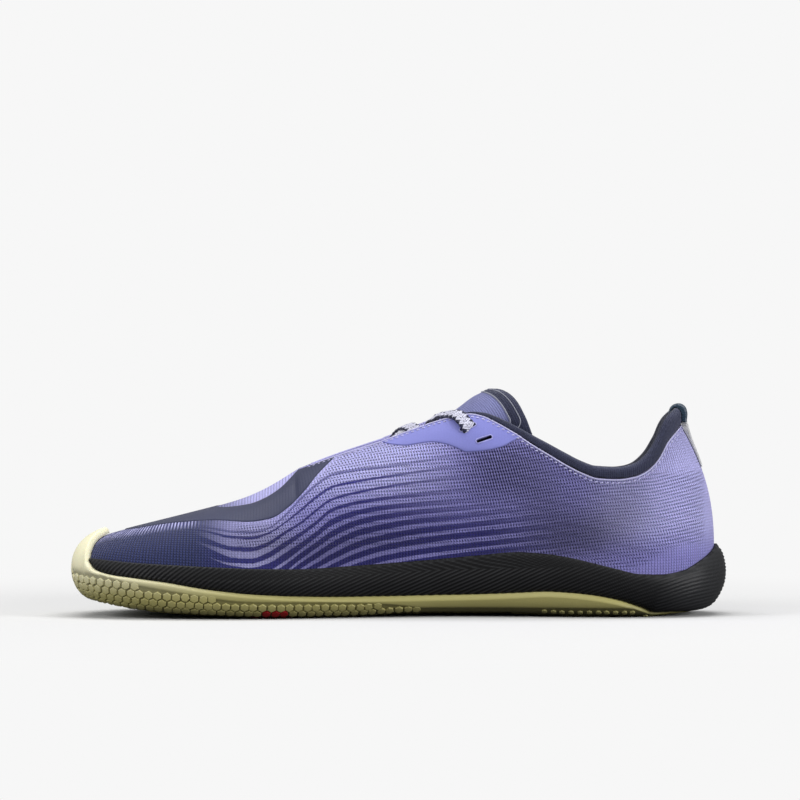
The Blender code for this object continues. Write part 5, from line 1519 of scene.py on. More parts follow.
def slot_outline(length, wide, steps=6):
    r = wide / 2
    pts = []
    for k in range(steps + 1):
        a = -math.pi / 2 + math.pi * k / steps
        pts.append((length / 2 - r + r * math.cos(a), r * math.sin(a)))
    for k in range(steps + 1):
        a = math.pi / 2 + math.pi * k / steps
        pts.append((-length / 2 + r + r * math.cos(a), r * math.sin(a)))
    return np.array(pts)


def slot_cutters(grow):
    s = Sheet()
    for side in (-1, 1):
        for k in range(2):
            c, run, up, n, length = slot_place(k, side)
            ring = slot_outline(length + 2 * grow, 1.35 + 2 * grow)
            flat = c + ring[:, :1] * run + ring[:, 1:] * up
            m = len(ring)
            pts = np.concatenate([flat + n * 2.2, flat - n * 2.6])
            i = np.arange(m)
            j = (i + 1) % m
            s.solid(pts, np.stack([i, j, j + m, i + m], 1))
            mid = len(pts)
            caps = np.array([c + n * 2.2, c - n * 2.6])
            s.solid(np.concatenate([pts[:m], caps[:1]]), np.stack([i, j, np.full(m, m)], 1))
            s.solid(np.concatenate([pts[m:], caps[1:]]), np.stack([j, i, np.full(m, m)], 1))
    return s.make("slot_cutters", [], smooth=False)


def cut(obj, cutter):
    mod = obj.modifiers.new("slots", "BOOLEAN")
    mod.operation, mod.solver, mod.object = "DIFFERENCE", "EXACT", cutter
    graph = bpy.context.evaluated_depsgraph_get()
    mesh = bpy.data.meshes.new_from_object(obj.evaluated_get(graph))
    obj.modifiers.clear()
    obj.data = mesh


# ---------------------------------------------------------------- threads
def capsule(s, a, b, up, radius, flat=0.75, sides=6, slot=0):
    """One stitch lying from a to b, thickest in the middle."""
    run = b - a
    length = np.linalg.norm(run)
    t = run / length
    side = np.cross(up, t)
    side /= np.linalg.norm(side)
    nrm = np.cross(t, side)
    rows = []
    uv = []
    for f, r in ((0.0, 0.25), (0.12, 0.72), (0.5, 1.0), (0.88, 0.72), (1.0, 0.25)):
        dip = nrm * (-radius * 0.7 * (2 * f - 1) ** 4)
        ang = np.arange(sides) * 2 * math.pi / sides
        rows.append(a + run * f + dip + side * (np.cos(ang) * r * radius)[:, None] + nrm * (np.sin(ang) * r * radius * flat)[:, None])
        uv.append(np.stack([np.full(sides, f * length), ang * radius], 1))
    pts = np.concatenate(rows)
    faces = []
    for k in range(4):
        for i in range(sides):
            j = (i + 1) % sides
            faces.append((k * sides + i, k * sides + j, (k + 1) * sides + j, (k + 1) * sides + i))
    s.solid(pts, faces, slot, np.concatenate(uv))
    end = np.arange(sides)
    s.solid(rows[0][::-1], [tuple(end)], slot)
    s.solid(rows[-1], [tuple(end)], slot)


def tube(s, pts, nrm, radius, sides=6, slot=0, bulge=0.0):
    """Round thread along a path."""
    t = np.gradient(pts, axis=0)
    t /= np.linalg.norm(t, axis=1)[:, None]
    side = np.cross(nrm, t)
    side /= np.linalg.norm(side, axis=1)[:, None]
    up = np.cross(t, side)
    run = np.concatenate([[0], np.cumsum(np.linalg.norm(np.diff(pts, axis=0), axis=1))])
    r = radius * (1 + bulge * np.cos(run * 2 * math.pi / 1.4))
    a = np.arange(sides + 1) * 2 * math.pi / sides
    g = pts[:, None] + side[:, None] * (np.cos(a)[None, :, None] * r[:, None, None]) + up[:, None] * (np.sin(a)[None, :, None] * r[:, None, None])
    g[:, -1] = g[:, 0]
    uv = np.stack([np.broadcast_to(run[:, None], g.shape[:2]), np.broadcast_to(a * radius, g.shape[:2])], -1)
    s.grid(g, uv, slot=slot)
    for end in (0, -1):
        ring = g[end, :-1]
        s.solid(ring, [tuple(range(len(ring)))], slot)


def edge_run(steps=1400):
    """The knit's edge from the foot of the throat on one side, round the heel to the other."""
    t = np.linspace(-THROAT_TAU + 1e-3, THROAT_TAU - 1e-3, steps)
    p = rib_point(rib_frame(np.mod(t, 2.0)), np.full(steps, 2.0))
    s = np.concatenate([[0], np.cumsum(np.linalg.norm(np.diff(p, axis=0), axis=1))])
    return t, s


def edge_point(t, reach, lift):
    tau = np.mod(np.atleast_1d(t), 2.0)
    w = level_below_top(tau, np.full(len(tau), reach))
    return skin(tau, w[:, None], lift)[:, 0]


def build_edge_stitches():
    """Dashes along the throat, and slanted whip stitches round the collar seam."""
    s = Sheet()
    t, run = edge_run()
    total = run[-1]
    pitch = 2.3
    count = int(total / pitch)
    for k in range(count):
        s0 = (k + 0.5) * pitch
        a, b, c = (float(np.interp(s0 + o, run, t)) for o in (-0.75, 0.75, 0))
        td = float(top_d(top_q(np.mod(c, 2.0))))
        if td > 174:
            continue
        lift = 0.50 if 86 < td < 142 else 0.20
        if td > 100:
            pa, pb = edge_point(a, 1.5, lift)[0], edge_point(b, 1.5, lift)[0]
            nrm = edge_point(c, 1.5, lift + 1)[0] - edge_point(c, 1.5, lift)[0]
            capsule(s, pa, pb, nrm, 0.32)
        else:
            pa, pb = edge_point(a, 1.25, lift)[0], edge_point(b, 1.85, lift)[0]
            if c < 0:
                pa, pb = edge_point(b, 1.25, lift)[0], edge_point(a, 1.85, lift)[0]
            nrm = edge_point(c, 1.5, lift + 1)[0] - edge_point(c, 1.5, lift)[0]
            capsule(s, pa, pb, nrm, 0.30)
    at = np.arange(2.0, total - 2.0, 0.8)
    keep = np.interp(at, run, t)
    keep = keep[top_d(top_q(np.mod(keep, 2.0))) < 172]
    low = np.where(np.abs(top_d(top_q(np.mod(keep, 2.0))) - 114) < 28, 0.36, 0.10)
    tau = np.mod(keep, 2.0)
    w = level_below_top(tau, np.full(len(tau), 0.30))[:, None]
    line, out = skin(tau, w, low[:, None])[:, 0], skin(tau, w, low[:, None] + 1.0)[:, 0]
    nrm = out - line
    nrm /= np.linalg.norm(nrm, axis=1)[:, None]
    tube(s, line, nrm, 0.34, bulge=0.12)
    return s.make("edge_stitches", [MATS["thread"]])


def build_edge_whip():
    """Fine thread over the cut edge of the throat."""
    s = Sheet()
    t, run = edge_run()
    for k in range(int(run[-1] / 1.5)):
        s0 = (k + 0.5) * 1.5
        c = float(np.interp(s0, run, t))
        td = float(top_d(top_q(np.mod(c, 2.0))))
        if td < 100 or td > 177:
            continue
        pa = edge_point(c, 0.75, 0.10 if not 86 < td < 142 else 0.34)[0]
        tau = np.array([np.mod(c, 2.0)])
        top = skin(tau, np.array([[2.0]]), -0.7)[0, 0] + np.array([0, 0, 0.30])
        inn = skin(tau, level_below_top(tau, np.array([0.7]))[:, None], -KNIT - 0.12)[0, 0]
        n = edge_point(c, 1.0, 1.0)[0] - edge_point(c, 1.0, 0.0)[0]
        capsule(s, pa, top + n * 0.2, n, 0.24)
        capsule(s, top + n * 0.2, inn, n, 0.24)
    return s.make("throat_whip", [MATS["thread"]])


def build_slot_rims():
    """Raised rim thread round each lace slot."""
    s = Sheet()
    for side in (-1, 1):
        for k in range(2):
            c, run, up, n, length = slot_place(k, side)
            ring = slot_outline(length + 0.55, 1.35 + 0.55, 8)
            m, sides = len(ring), 6
            nxt = np.roll(ring, -1, 0) - np.roll(ring, 1, 0)
            nxt /= np.linalg.norm(nxt, axis=1)[:, None]
            outw = np.stack([nxt[:, 1], -nxt[:, 0]], 1)
            rows = []
            for q in range(sides + 1):
                a = 2 * math.pi * q / sides
                off = ring + outw * (0.24 * math.cos(a))
                rows.append(c + off[:, :1] * run + off[:, 1:] * up + n * (0.42 + 0.20 * math.sin(a)))
            grid = np.stack(rows, 1)
            uv = np.stack([np.broadcast_to((np.arange(m) * 0.6)[:, None], grid.shape[:2]), np.broadcast_to(np.arange(sides + 1) * 0.2, grid.shape[:2])], -1)
            s.grid(grid, uv, wrap=True)
    return s.make("slot_rims", [MATS["edge_thread"]])


# ---------------------------------------------------------------- smooth upsampling of the section tables
def resample(rows, count, closed=False, axis=0):
    """Smooth curve through the rows, at count even places along them."""
    rows = np.moveaxis(rows, axis, 0)
    n = len(rows)
    gap = np.linalg.norm(np.diff(rows, axis=0), axis=-1)
    gap = gap.reshape(n - 1, -1).mean(1)
    if closed:
        last = np.linalg.norm(rows[0] - rows[-1], axis=-1).mean()
        gap = np.append(gap, last)
    x = np.concatenate([[0], np.cumsum(np.maximum(gap, 1e-6))])
    ext = np.concatenate([rows, rows[:1]]) if closed else rows
    q = np.linspace(0, x[-1], count + 1)[:-1] if closed else np.linspace(0, x[-1], count)
    m = len(ext)
    slope = np.empty_like(ext)
    h = np.diff(x).reshape((-1,) + (1,) * (ext.ndim - 1))
    s = np.diff(ext, axis=0) / h
    slope[1:-1] = (s[:-1] * h[1:] + s[1:] * h[:-1]) / (h[1:] + h[:-1])
    if closed:
        slope[0] = slope[-1] = (s[-1] * h[0] + s[0] * h[-1]) / (h[0] + h[-1])
    else:
        slope[0], slope[-1] = s[0], s[-1]
    i = np.clip(np.searchsorted(x, q, side="right") - 1, 0, m - 2)
    shape = (-1,) + (1,) * (ext.ndim - 1)
    hh = (x[i + 1] - x[i]).reshape(shape)
    t = ((q - x[i]).reshape(shape)) / hh
    out = ((2 * t ** 3 - 3 * t ** 2 + 1) * ext[i] + (t ** 3 - 2 * t ** 2 + t) * hh * slope[i]
           + (3 * t ** 2 - 2 * t ** 3) * ext[i + 1] + (t ** 3 - t ** 2) * hh * slope[i + 1])
    return np.moveaxis(out, 0, axis)


def lengths_uv(p):
    """Texture place in millimetres from the lengths along both ways of a grid."""
    du = np.linalg.norm(np.diff(p, axis=0), axis=2)
    dv = np.linalg.norm(np.diff(p, axis=1), axis=2)
    u = np.concatenate([np.zeros((1, p.shape[1])), np.cumsum(du, 0)])
    u = np.broadcast_to(u.mean(1, keepdims=True), u.shape)
    v = np.concatenate([np.zeros((p.shape[0], 1)), np.cumsum(dv, 1)], 1)
    return np.stack([u, v], -1)


def grid_normals(p, flip=1.0):
    n = np.cross(np.gradient(p, axis=0), np.gradient(p, axis=1))
    n /= np.maximum(np.linalg.norm(n, axis=2), 1e-9)[..., None]
    return n * flip


# ---------------------------------------------------------------- tongue
BIND = 5.0


def build_tongue():
    global TONGUE
    fuller = ((3.1, 0.0, 0.4), (3.4, 0.0, 0.9), (3.9, 0.0, 0.9), (4.2, 0.0, 0.9))
    TONGUE = TONGUE[:-4] + tuple((*row[:3], row[3] + b, row[4] + c, p, row[6]) for row, (p, b, c) in zip(TONGUE[-4:], fuller))
    outer, inner = tongue_faces()
    # the top edge is round in plan rather than square
    x = np.linspace(-1, 1, outer.shape[1])
    x = np.abs(x) ** 0.9
    for row, share in ((-4, 0.3), (-3, 0.7), (-2, 1.0), (-1, 1.0)):
        reach = TONGUE[row][3]
        shift = reach * (x ** 1.6 - x ** (0.55 * TONGUE[row][5])) * share
        outer[row, :, 0] -= shift
        inner[row, :, 0] -= shift
    outer = resample(resample(outer, 74), 60, axis=1)
    inner = resample(resample(inner, 74), 60, axis=1)
    uv = lengths_uv(outer)
    top_run = uv[-1:, :, 0] - uv[..., 0]
    v = uv[..., 1]
    half = (v[:, -1:] - v[:, :1]) / 2
    side_run = half - np.abs(v - v[:, :1] - half)
    edge = np.minimum(top_run, side_run)
    corner = 7.0
    both = (top_run < corner) & (side_run < corner)
    round_edge = corner - np.hypot(corner - top_run, corner - side_run)
    edge = np.where(both, np.minimum(edge, round_edge), edge)
    n = grid_normals(outer)
    n *= np.sign(n[:, 30, 2])[:, None, None]
    bind = ease((BIND + 0.25 - edge) / 0.5)
    groove = np.exp(-((edge - BIND - 0.2) / 0.55) ** 2)
    pillow = 0.55 * ease((edge - BIND) / 6.0)
    top = outer + n * (bind * 0.35 - 0.45 * groove + pillow * 0.5 - 0.1)[..., None]
    low = inner - n * 0.0
    s = Sheet(("bound",))
    rows, cols = top.shape[:2]
    s.grid(top, uv, bound=bind)

    def rim(a, b, out_dir, ruv):
        parts = [a]
        thick = np.linalg.norm(a - b, axis=1)[:, None]
        for f in (0.15, 0.32, 0.5, 0.68, 0.85):
            parts.append(a * (1 - f) + b * f + out_dir * thick * 0.34 * math.sin(math.pi * f) ** 0.8)
        parts.append(b)
        g = np.stack(parts, 1)
        s.grid(g, np.stack([np.broadcast_to(ruv[:, None], g.shape[:2]), np.broadcast_to(np.arange(7) * 0.6, g.shape[:2])], -1), bound=1.0)
    along = outer[-1] - outer[-2]
    along /= np.linalg.norm(along, axis=1)[:, None]
    rim(top[-1], low[-1], along, uv[-1, :, 1])
    side = outer[:, -1] - outer[:, -2]
    side /= np.linalg.norm(side, axis=1)[:, None]
    rim(top[:, -1], low[:, -1], side, uv[:, 0, 0])
    side = outer[:, 0] - outer[:, 1]
    side /= np.linalg.norm(side, axis=1)[:, None]
    rim(top[:, 0], low[:, 0], side, uv[:, 0, 0])
    rim(top[0], low[0], -(outer[1] - outer[0]) * 0, uv[0, :, 1])
    s.grid(low, uv, flip=True, bound=1.0)
    obj = s.make("tongue_pad", [MATS["tongue"]], merge=2e-5)
    # seam threads: between the panel and its binding, and along the binding's own fold
    thread = Sheet()
    foot, middle = rows * 0.42, (cols - 1) / 2
    turn = np.linspace(math.pi, 0, 420)
    reach = 1 / np.maximum(np.abs(np.cos(turn)), np.abs(np.sin(turn)))
    f = np.linspace(0, 1, 240)[None, :] * reach[:, None]
    r = np.clip(foot + f * np.sin(turn)[:, None] * (rows - 1 - foot), 0, rows - 1)
    c = np.clip(middle + f * np.cos(turn)[:, None] * middle, 0, cols - 1)

    def at(grid, r, c):
        i, j = np.minimum(r.astype(int), rows - 2), np.minimum(c.astype(int), cols - 2)
        a, b = r - i, c - j
        if grid.ndim == 3:
            a, b = a[..., None], b[..., None]
        return (grid[i, j] * (1 - a) + grid[i + 1, j] * a) * (1 - b) + (grid[i, j + 1] * (1 - a) + grid[i + 1, j + 1] * a) * b
    away = at(edge, r, c)
    for want, radius in ((BIND + 0.35, 0.30), (1.9, 0.22)):
        hit = np.array([np.interp(-want, -np.minimum.accumulate(row), np.arange(240)) for row in away])
        k = np.minimum(hit.astype(int), 238)
        g = hit - k
        line = np.arange(len(turn))
        rr = r[line, k] * (1 - g) + r[line, k + 1] * g
        cc = c[line, k] * (1 - g) + c[line, k + 1] * g
        pts, nrm = at(top, rr, cc), at(n, rr, cc)
        run = np.concatenate([[0], np.cumsum(np.linalg.norm(np.diff(pts, axis=0), axis=1))])
        even = np.arange(0, run[-1], 0.7)
        pts = np.stack([np.interp(even, run, pts[:, i]) for i in range(3)], 1)
        nrm = np.stack([np.interp(even, run, nrm[:, i]) for i in range(3)], 1)
        nrm /= np.linalg.norm(nrm, axis=1)[:, None]
        tube(thread, pts + nrm * 0.08, nrm, radius)
    return obj, thread.make("tongue_seam", [MATS["grey_thread"]])


# ---------------------------------------------------------------- padded collar
def build_collar():
    ends = collar_stations()
    tau = np.linspace(ends[0], ends[-1], 190)
    sec = collar_sections(tau)
    dense = resample(sec, 66, closed=True, axis=1)
    # the front ends run out as a thin binding along the throat edge
    tips = []
    for end, step in ((0, -1), (-1, 1)):
        here, ring = tau[end], dense[end]
        centre = ring.mean(0)
        edge0 = rib_point(rib_frame(np.array([np.mod(here, 2.0)])), np.array([[2.0]]))[0, 0]
        rows = []
        for k in range(1, 15):
            f = k / 14.0
            at = float(here + step * 0.052 * f)
            p = rib_point(rib_frame(np.array([np.mod(at, 2.0)])), np.array([[2.0]]))[0, 0]
            size = (1 - f) ** 1.6 * 0.82 + 0.18
            low = ring - centre
            rows.append(p + (centre - edge0) * size + low * np.array([1, 1, 1]) * size)
        tips.append(np.array(rows))
    dense = np.concatenate([tips[0][::-1], dense, tips[1]], 0)
    uv = lengths_uv(np.concatenate([dense, dense[:, :1]], 1))
    loop = np.concatenate([dense, dense[:, :1]], 1)
    s = Sheet(("inside",))
    band = np.pad(np.maximum(top_band(top_q(tau)), 1.9), 14, mode="edge")[:, None]
    # the inner face gets the darker colours: partly a darker lining yarn, partly painted shade inside the opening
    inside = ease((uv[..., 1] - (band * 0.88 + 1.0)) / 1.2)
    s.grid(loop, uv, inside=inside)
    for ring in (dense[0], dense[-1]):
        s.solid(ring, [tuple(range(len(ring)))], 0)
    return s.make("collar_pad", [MATS["collar"]])


# ---------------------------------------------------------------- heel tab and strip
def sheet_between(s, outer, inner):
    uv = lengths_uv(outer)
    s.grid(outer, uv)
    s.grid(inner, uv, flip=True)
    for a, b, c in ((outer[0], inner[0], uv[0]), (outer[-1], inner[-1], uv[-1]), (outer[:, 0], inner[:, 0], uv[:, 0]), (outer[:, -1], inner[:, -1], uv[:, -1])):
        s.grid(np.stack([a, b], 1), np.stack([c, c], 1))


def build_heel_tab():
    tau = np.linspace(-0.030, 0.030, 25)
    up, outward = band_direction(tau)
    top = last_point(tau, np.array([2.0]), 0.0)[:, 0]
    band = top_band(top_q(tau))[:, None]
    inner, outer = [], []
    close = ((0.30, 0.55), (0.62, 0.5), (0.84, -0.1), (0.96, -1.0), (1.0, -1.9), (0.95, -2.9), (0.82, -3.6), (0.4, -4.0))
    full = ((0.24, 1.4), (0.60, 1.5), (0.86, 1.0), (1.0, -0.2), (1.02, -1.6), (0.95, -2.9), (0.82, -3.6), (0.4, -4.0))
    middle = top + up * band * 0.45 - outward * 1.6
    for rows, table, reach in ((inner, close, GAP), (outer, full, GAP + 0.8)):
        for h, o in table:
            base = top + up * (GAP + 0.15 + (band - 0.2) * h) + outward * o
            away = base - middle
            away /= np.linalg.norm(away, axis=1)[:, None]
            rows.append(base + away * reach)
    outer, inner = resample(np.stack(outer, 1), 34, axis=1), resample(np.stack(inner, 1), 34, axis=1)
    n = outer - inner
    n /= np.linalg.norm(n, axis=2)[..., None]
    x = np.linspace(-1, 1, 25)[:, None]
    dip = -0.25 * np.exp(-((np.abs(x) - 0.86) / 0.05) ** 2) - 0.25 * ease((np.abs(x) - 0.92) / 0.08)
    outer = outer + n * np.broadcast_to(dip, outer.shape[:2])[..., None]
    s = Sheet()
    sheet_between(s, outer, inner)
    tab = s.make("heel_tab_wrap", [MATS["tab"]])
    sharp(tab, 60)
    t = Sheet()
    for c in (2, 22):
        line = outer[c]
        nn = n[c]
        run = np.concatenate([[0], np.cumsum(np.linalg.norm(np.diff(line, axis=0), axis=1))])
        for k in range(int(run[-1] / 1.9)):
            a, b = k * 1.9 + 0.35, k * 1.9 + 1.6
            pa = np.array([np.interp(a, run, line[:, i]) for i in range(3)])
            pb = np.array([np.interp(b, run, line[:, i]) for i in range(3)])
            nm = np.array([np.interp(a, run, nn[:, i]) for i in range(3)])
            capsule(t, pa + nm * 0.12, pb + nm * 0.12, nm, 0.20)
    return tab, t.make("heel_tab_stitches", [MATS["grey_thread"]])


def build_heel_strip():
    tau = np.linspace(-0.014, 0.014, 13)
    hi, lo = level_below_top(tau, np.full(13, 1.0)), level_below_top(tau, np.full(13, 19.0))
    f = np.linspace(0, 1, 40)
    w = hi[:, None] + (lo - hi)[:, None] * f
    thick = np.interp(f, np.linspace(0, 1, 6), (1.4, 1.2, 1.0, 0.8, 0.6, 0.4))[None]
    x = np.linspace(-1, 1, 13)[:, None]
    shape = 1 - 0.35 * np.abs(x) ** 6
    bow = (1.1 * (1 - np.clip(f / 0.5, 0, 1)) ** 2)[None]
    outer, inner = last_point(tau, w, GAP + bow + thick * shape), last_point(tau, w, GAP)
    up, outward = band_direction(tau)
    top = last_point(tau, np.array([2.0]), 0.0)[:, 0]
    band = top_band(top_q(tau))[:, None]
    head_in, head_out = [], []
    for h in (0.20, 0.14, 0.07, 0.0):
        base = top + up * (GAP + 0.15 + band * h)
        head_in.append(base + outward * (GAP + 0.3))
        head_out.append(base + outward * (GAP + 1.4 + 0.9 * shape))
    outer = np.concatenate([np.stack(head_out, 1), outer], 1)
    inner = np.concatenate([np.stack(head_in, 1), inner], 1)
    s = Sheet()
    sheet_between(s, outer, inner)
    obj = s.make("heel_strip_tape", [MATS["tape"]])
    sharp(obj, 60)
    return obj


# ---------------------------------------------------------------- footbed
def build_insole():
    half = fine_half(60, 36)
    tau = mirror(half)
    away = -(KNIT + GAP + 0.15)
    p = last_point(tau, np.broadcast_to(_levels[:60], (len(tau), 60)), away)
    top = np.array([np.interp(bed_z(d) + FOOTBED_RISE, row[:, 2], _levels[:60]) for row, d in zip(p, outline_d(tau))])
    levels = np.stack([top * f for f in (0.10, 0.3, 0.55, 0.8, 1.0)], 1)
    side = last_point(tau, levels, away)
    foot = last_point(tau, np.array([0.0]), 0.0)[:, 0]
    spine = spine_point(tau, lambda d: d * 0)
    inward = spine - foot
    inward[:, 2] = 0
    inward /= np.linalg.norm(inward, axis=1)[:, None]
    low = foot + inward * 0.45
    low[:, 2] = bed_z(low[:, 0])
    step = low.copy()
    step[:, 2] = side[:, 0, 2]
    rim = side[:, -1] + inward * 1.4
    rim[:, 2] = side[:, -1, 2] - 0.1
    s = Sheet()

    def flat(p):
        return p[..., [0, 1]]
    wall = np.concatenate([low[:, None], step[:, None], side, ((side[:, -1] + rim) / 2 + np.array([0, 0, 0.25]))[:, None], rim[:, None]], 1)
    s.grid(wall, flat(wall), wrap=True)
    under = plate(tau, low, lambda d, y, a: bed_z(d), (0, 0.5, 1.0))
    s.grid(under, flat(under), wrap=True)
    rings = [rim]
    for f in (0.05, 0.1, 0.17, 0.25, 0.4, 0.55, 0.7, 0.85, 1.0):
        r = rim * (1 - f) + spine * f
        lift = (rim[:, 2] - bed_z(rim[:, 0]) - FOOTBED) * max(0.0, 1 - f / 0.25) ** 1.5
        r[:, 2] = bed_z(r[:, 0]) + FOOTBED + lift
        rings.append(r)
    bed = np.stack(rings, 1)
    s.grid(bed, flat(bed), wrap=True)
    return s.make("footbed", [MATS["footbed"]], merge=4e-6)


# ---------------------------------------------------------------- laces
def braid(s, centre, side, normal, lead_in=(0, 0)):
    """Flat braided lace along a centre line, with rounded edges and a plaited face."""
    if lead_in[0]:
        t = centre[0] - centre[1]
        t /= np.linalg.norm(t)
        extra = [centre[0] + t * a - normal[0] * b for a, b in ((0.9, 2.9), (0.85, 1.9), (0.7, 1.0), (0.45, 0.35))]
        centre = np.concatenate([extra, centre])
        side, normal = np.concatenate([[side[0]] * 4, side]), np.concatenate([[normal[0]] * 4, normal])
    if lead_in[1]:
        t = centre[-1] - centre[-2]
        t /= np.linalg.norm(t)
        extra = [centre[-1] + t * a - normal[-1] * b for a, b in ((0.45, 0.35), (0.7, 1.0), (0.85, 1.9), (0.9, 2.9))]
        centre = np.concatenate([centre, extra])
        side, normal = np.concatenate([side, [side[-1]] * 4]), np.concatenate([normal, [normal[-1]] * 4])
    run = np.concatenate([[0], np.cumsum(np.linalg.norm(np.diff(centre, axis=0), axis=1))])
    at = np.linspace(0, run[-1], int(run[-1] / 0.45) + 2)
    smooth = lambda a: np.stack([np.interp(at, run, a[:, i]) for i in range(3)], 1)
    c, sd = smooth(centre), smooth(side)
    kernel = np.array([1, 2, 3, 2, 1]) / 9.0
    for _ in range(3):
        pad = np.pad(c, ((2, 2), (0, 0)), mode="edge")
        blur = np.stack([np.convolve(pad[:, i], kernel, "valid") for i in range(3)], 1)
        c[2:-2] = blur[2:-2]
    t = np.gradient(c, axis=0)
    t /= np.linalg.norm(t, axis=1)[:, None]
    sd -= t * (sd * t).sum(1)[:, None]
    sd /= np.linalg.norm(sd, axis=1)[:, None]
    up = np.cross(t, sd)
    flip = np.sign((up * smooth(normal)).sum(1))
    flip[flip == 0] = 1
    up *= flip[:, None]
    w, h = LACE_WIDTH / 2, LACE_THICK / 2
    prof = []
    for a in np.linspace(-1, 1, 15):
        prof.append((a, max(0.0, 1 - abs(a) ** 5) ** 0.5, 1))
    for a in np.linspace(1, -1, 9)[1:-1]:
        prof.append((a, max(0.0, 1 - abs(a) ** 5) ** 0.5, -1))
    ring, uv = [], []
    for a, b, face in prof:
        plait = 0.13 * np.cos((at / 1.35 + abs(a) * 1.3) * math.pi) * (1 if face > 0 else 0.5)
        edge = 0.11 * np.cos(at * 2 * math.pi / 2.5) * abs(a) ** 6
        rib = 0.12 * math.cos(a * 5 * math.pi) * b
        ring.append(c + sd * (a * (w + edge))[:, None] + up * (face * (b * h + (plait * b + rib) * (1 if face > 0 else 0.4)))[:, None])
        uv.append(np.stack([at, np.full(len(at), a)], 1))
    g, uv = np.stack(ring, 1), np.stack(uv, 1)
    g = np.concatenate([g, g[:, :1]], 1)
    uv = np.concatenate([uv, uv[:, :1]], 1)
    s.grid(g, uv)
    for end in (0, -1):
        loop = g[end, :-1]
        s.solid(loop, [tuple(range(len(loop)))], 0)


TOP_ROW = (108.2, 7.0, 1)


def lie(a, b, over_a, over_b, knit, dense, lift, bow=0.0, stations=25):
    """Centre line of one crossing that lies on the tongue, follows its slope and bows forward."""
    f = np.linspace(0, 1, stations)
    plan = a[None, :2] * (1 - f)[:, None] + b[None, :2] * f[:, None]
    plan[:, 0] += bow * np.sin(math.pi * f ** 1.5)
    run = np.concatenate([[0], np.cumsum(np.linalg.norm(np.diff(plan, axis=0), axis=1))])
    along = np.gradient(plan, axis=0)
    along /= np.linalg.norm(along, axis=1)[:, None]
    across = np.stack([-along[:, 1], along[:, 0]], 1)
    tops = []
    for off in (-LACE_WIDTH * 0.36, 0, LACE_WIDTH * 0.36):
        p = plan + across * off
        k, t = nearest_heights(knit, p), nearest_heights(dense, p)
        k = np.where((k > 900) | ~np.where(f < 0.5, over_a, over_b).astype(bool), -999, k)
        t = np.where(t > 900, -999, t)
        tops.append(np.maximum(k, t))
    tops = np.array(tops)
    both = (tops[0] > -900) & (tops[2] > -900)
    middle = np.where(both, (tops[0] + tops[2]) / 2, -999)
    rise = np.maximum(tops[1], middle)
    rise = np.where(rise < -900, np.nan, rise)
    good = ~np.isnan(rise)
    rise = np.interp(run, run[good], rise[good])
    z = hull_over(run, rise) + lift * np.sin(np.pi * f) ** 2
    slope = np.gradient(z, run)
    steep = np.sqrt(1 + slope ** 2)
    stand = LACE_THICK / 2 + 0.35 + 0.5 * np.abs(2 * f - 1) ** 3 * np.where(f < 0.5, over_a, over_b)
    centre = np.column_stack([plan + along * (-slope / steep * stand)[:, None], z + stand / steep])
    tilt = np.where(both, (tops[2] - tops[0]) / (LACE_WIDTH * 0.72), np.nan)
    ok = ~np.isnan(tilt)
    tilt = np.interp(run, run[ok], tilt[ok]) if ok.any() else run * 0
    tilt = np.convolve(np.pad(tilt, 4, mode="edge"), np.ones(9) / 9, "valid")
    tangent = np.gradient(centre, axis=0)
    tangent /= np.linalg.norm(tangent, axis=1)[:, None]
    side = np.column_stack([across, tilt])
    side -= tangent * (side * tangent).sum(1)[:, None]
    side /= np.linalg.norm(side, axis=1)[:, None]
    normal = np.cross(tangent, side)
    normal *= np.sign(normal[:, 2])[:, None]
    return centre, side, normal


def build_laces():
    knit, dense = deck_samples()
    rows = list(EYELETS[:-1]) + [TOP_ROW]
    s = Sheet()
    for a, b, lift in lace_runs():
        pa, pb = eyelet_at(rows[a[0]], a[1]), eyelet_at(rows[b[0]], b[1])
        over = rows[a[0]][2], rows[b[0]][2]
        lift = (lift, lift, lift + 2.6, lift - TOP_BOW - 0.2)[a[0]] if b[0] != a[0] else lift
        c, sd, n = lie(pa, pb, *over, knit, dense, lift, 5.5 if b[0] == len(rows) - 1 else 0.0)
        braid(s, c, sd, n, over)
    return s.make("laces_braid", [MATS["braid"]], merge=1e-7)


# ---------------------------------------------------------------- rand with its diagonal ribs
RAND_SLOPE = steady((5.0, 16.0, 30.0, 60.0, 120.0, 170.0, 200.0, 235.0, 262.0), (0.04, 0.18, 0.32, 0.38, 0.42, 0.48, 0.62, 1.0, 1.3))
RIB_PITCH = 1.30


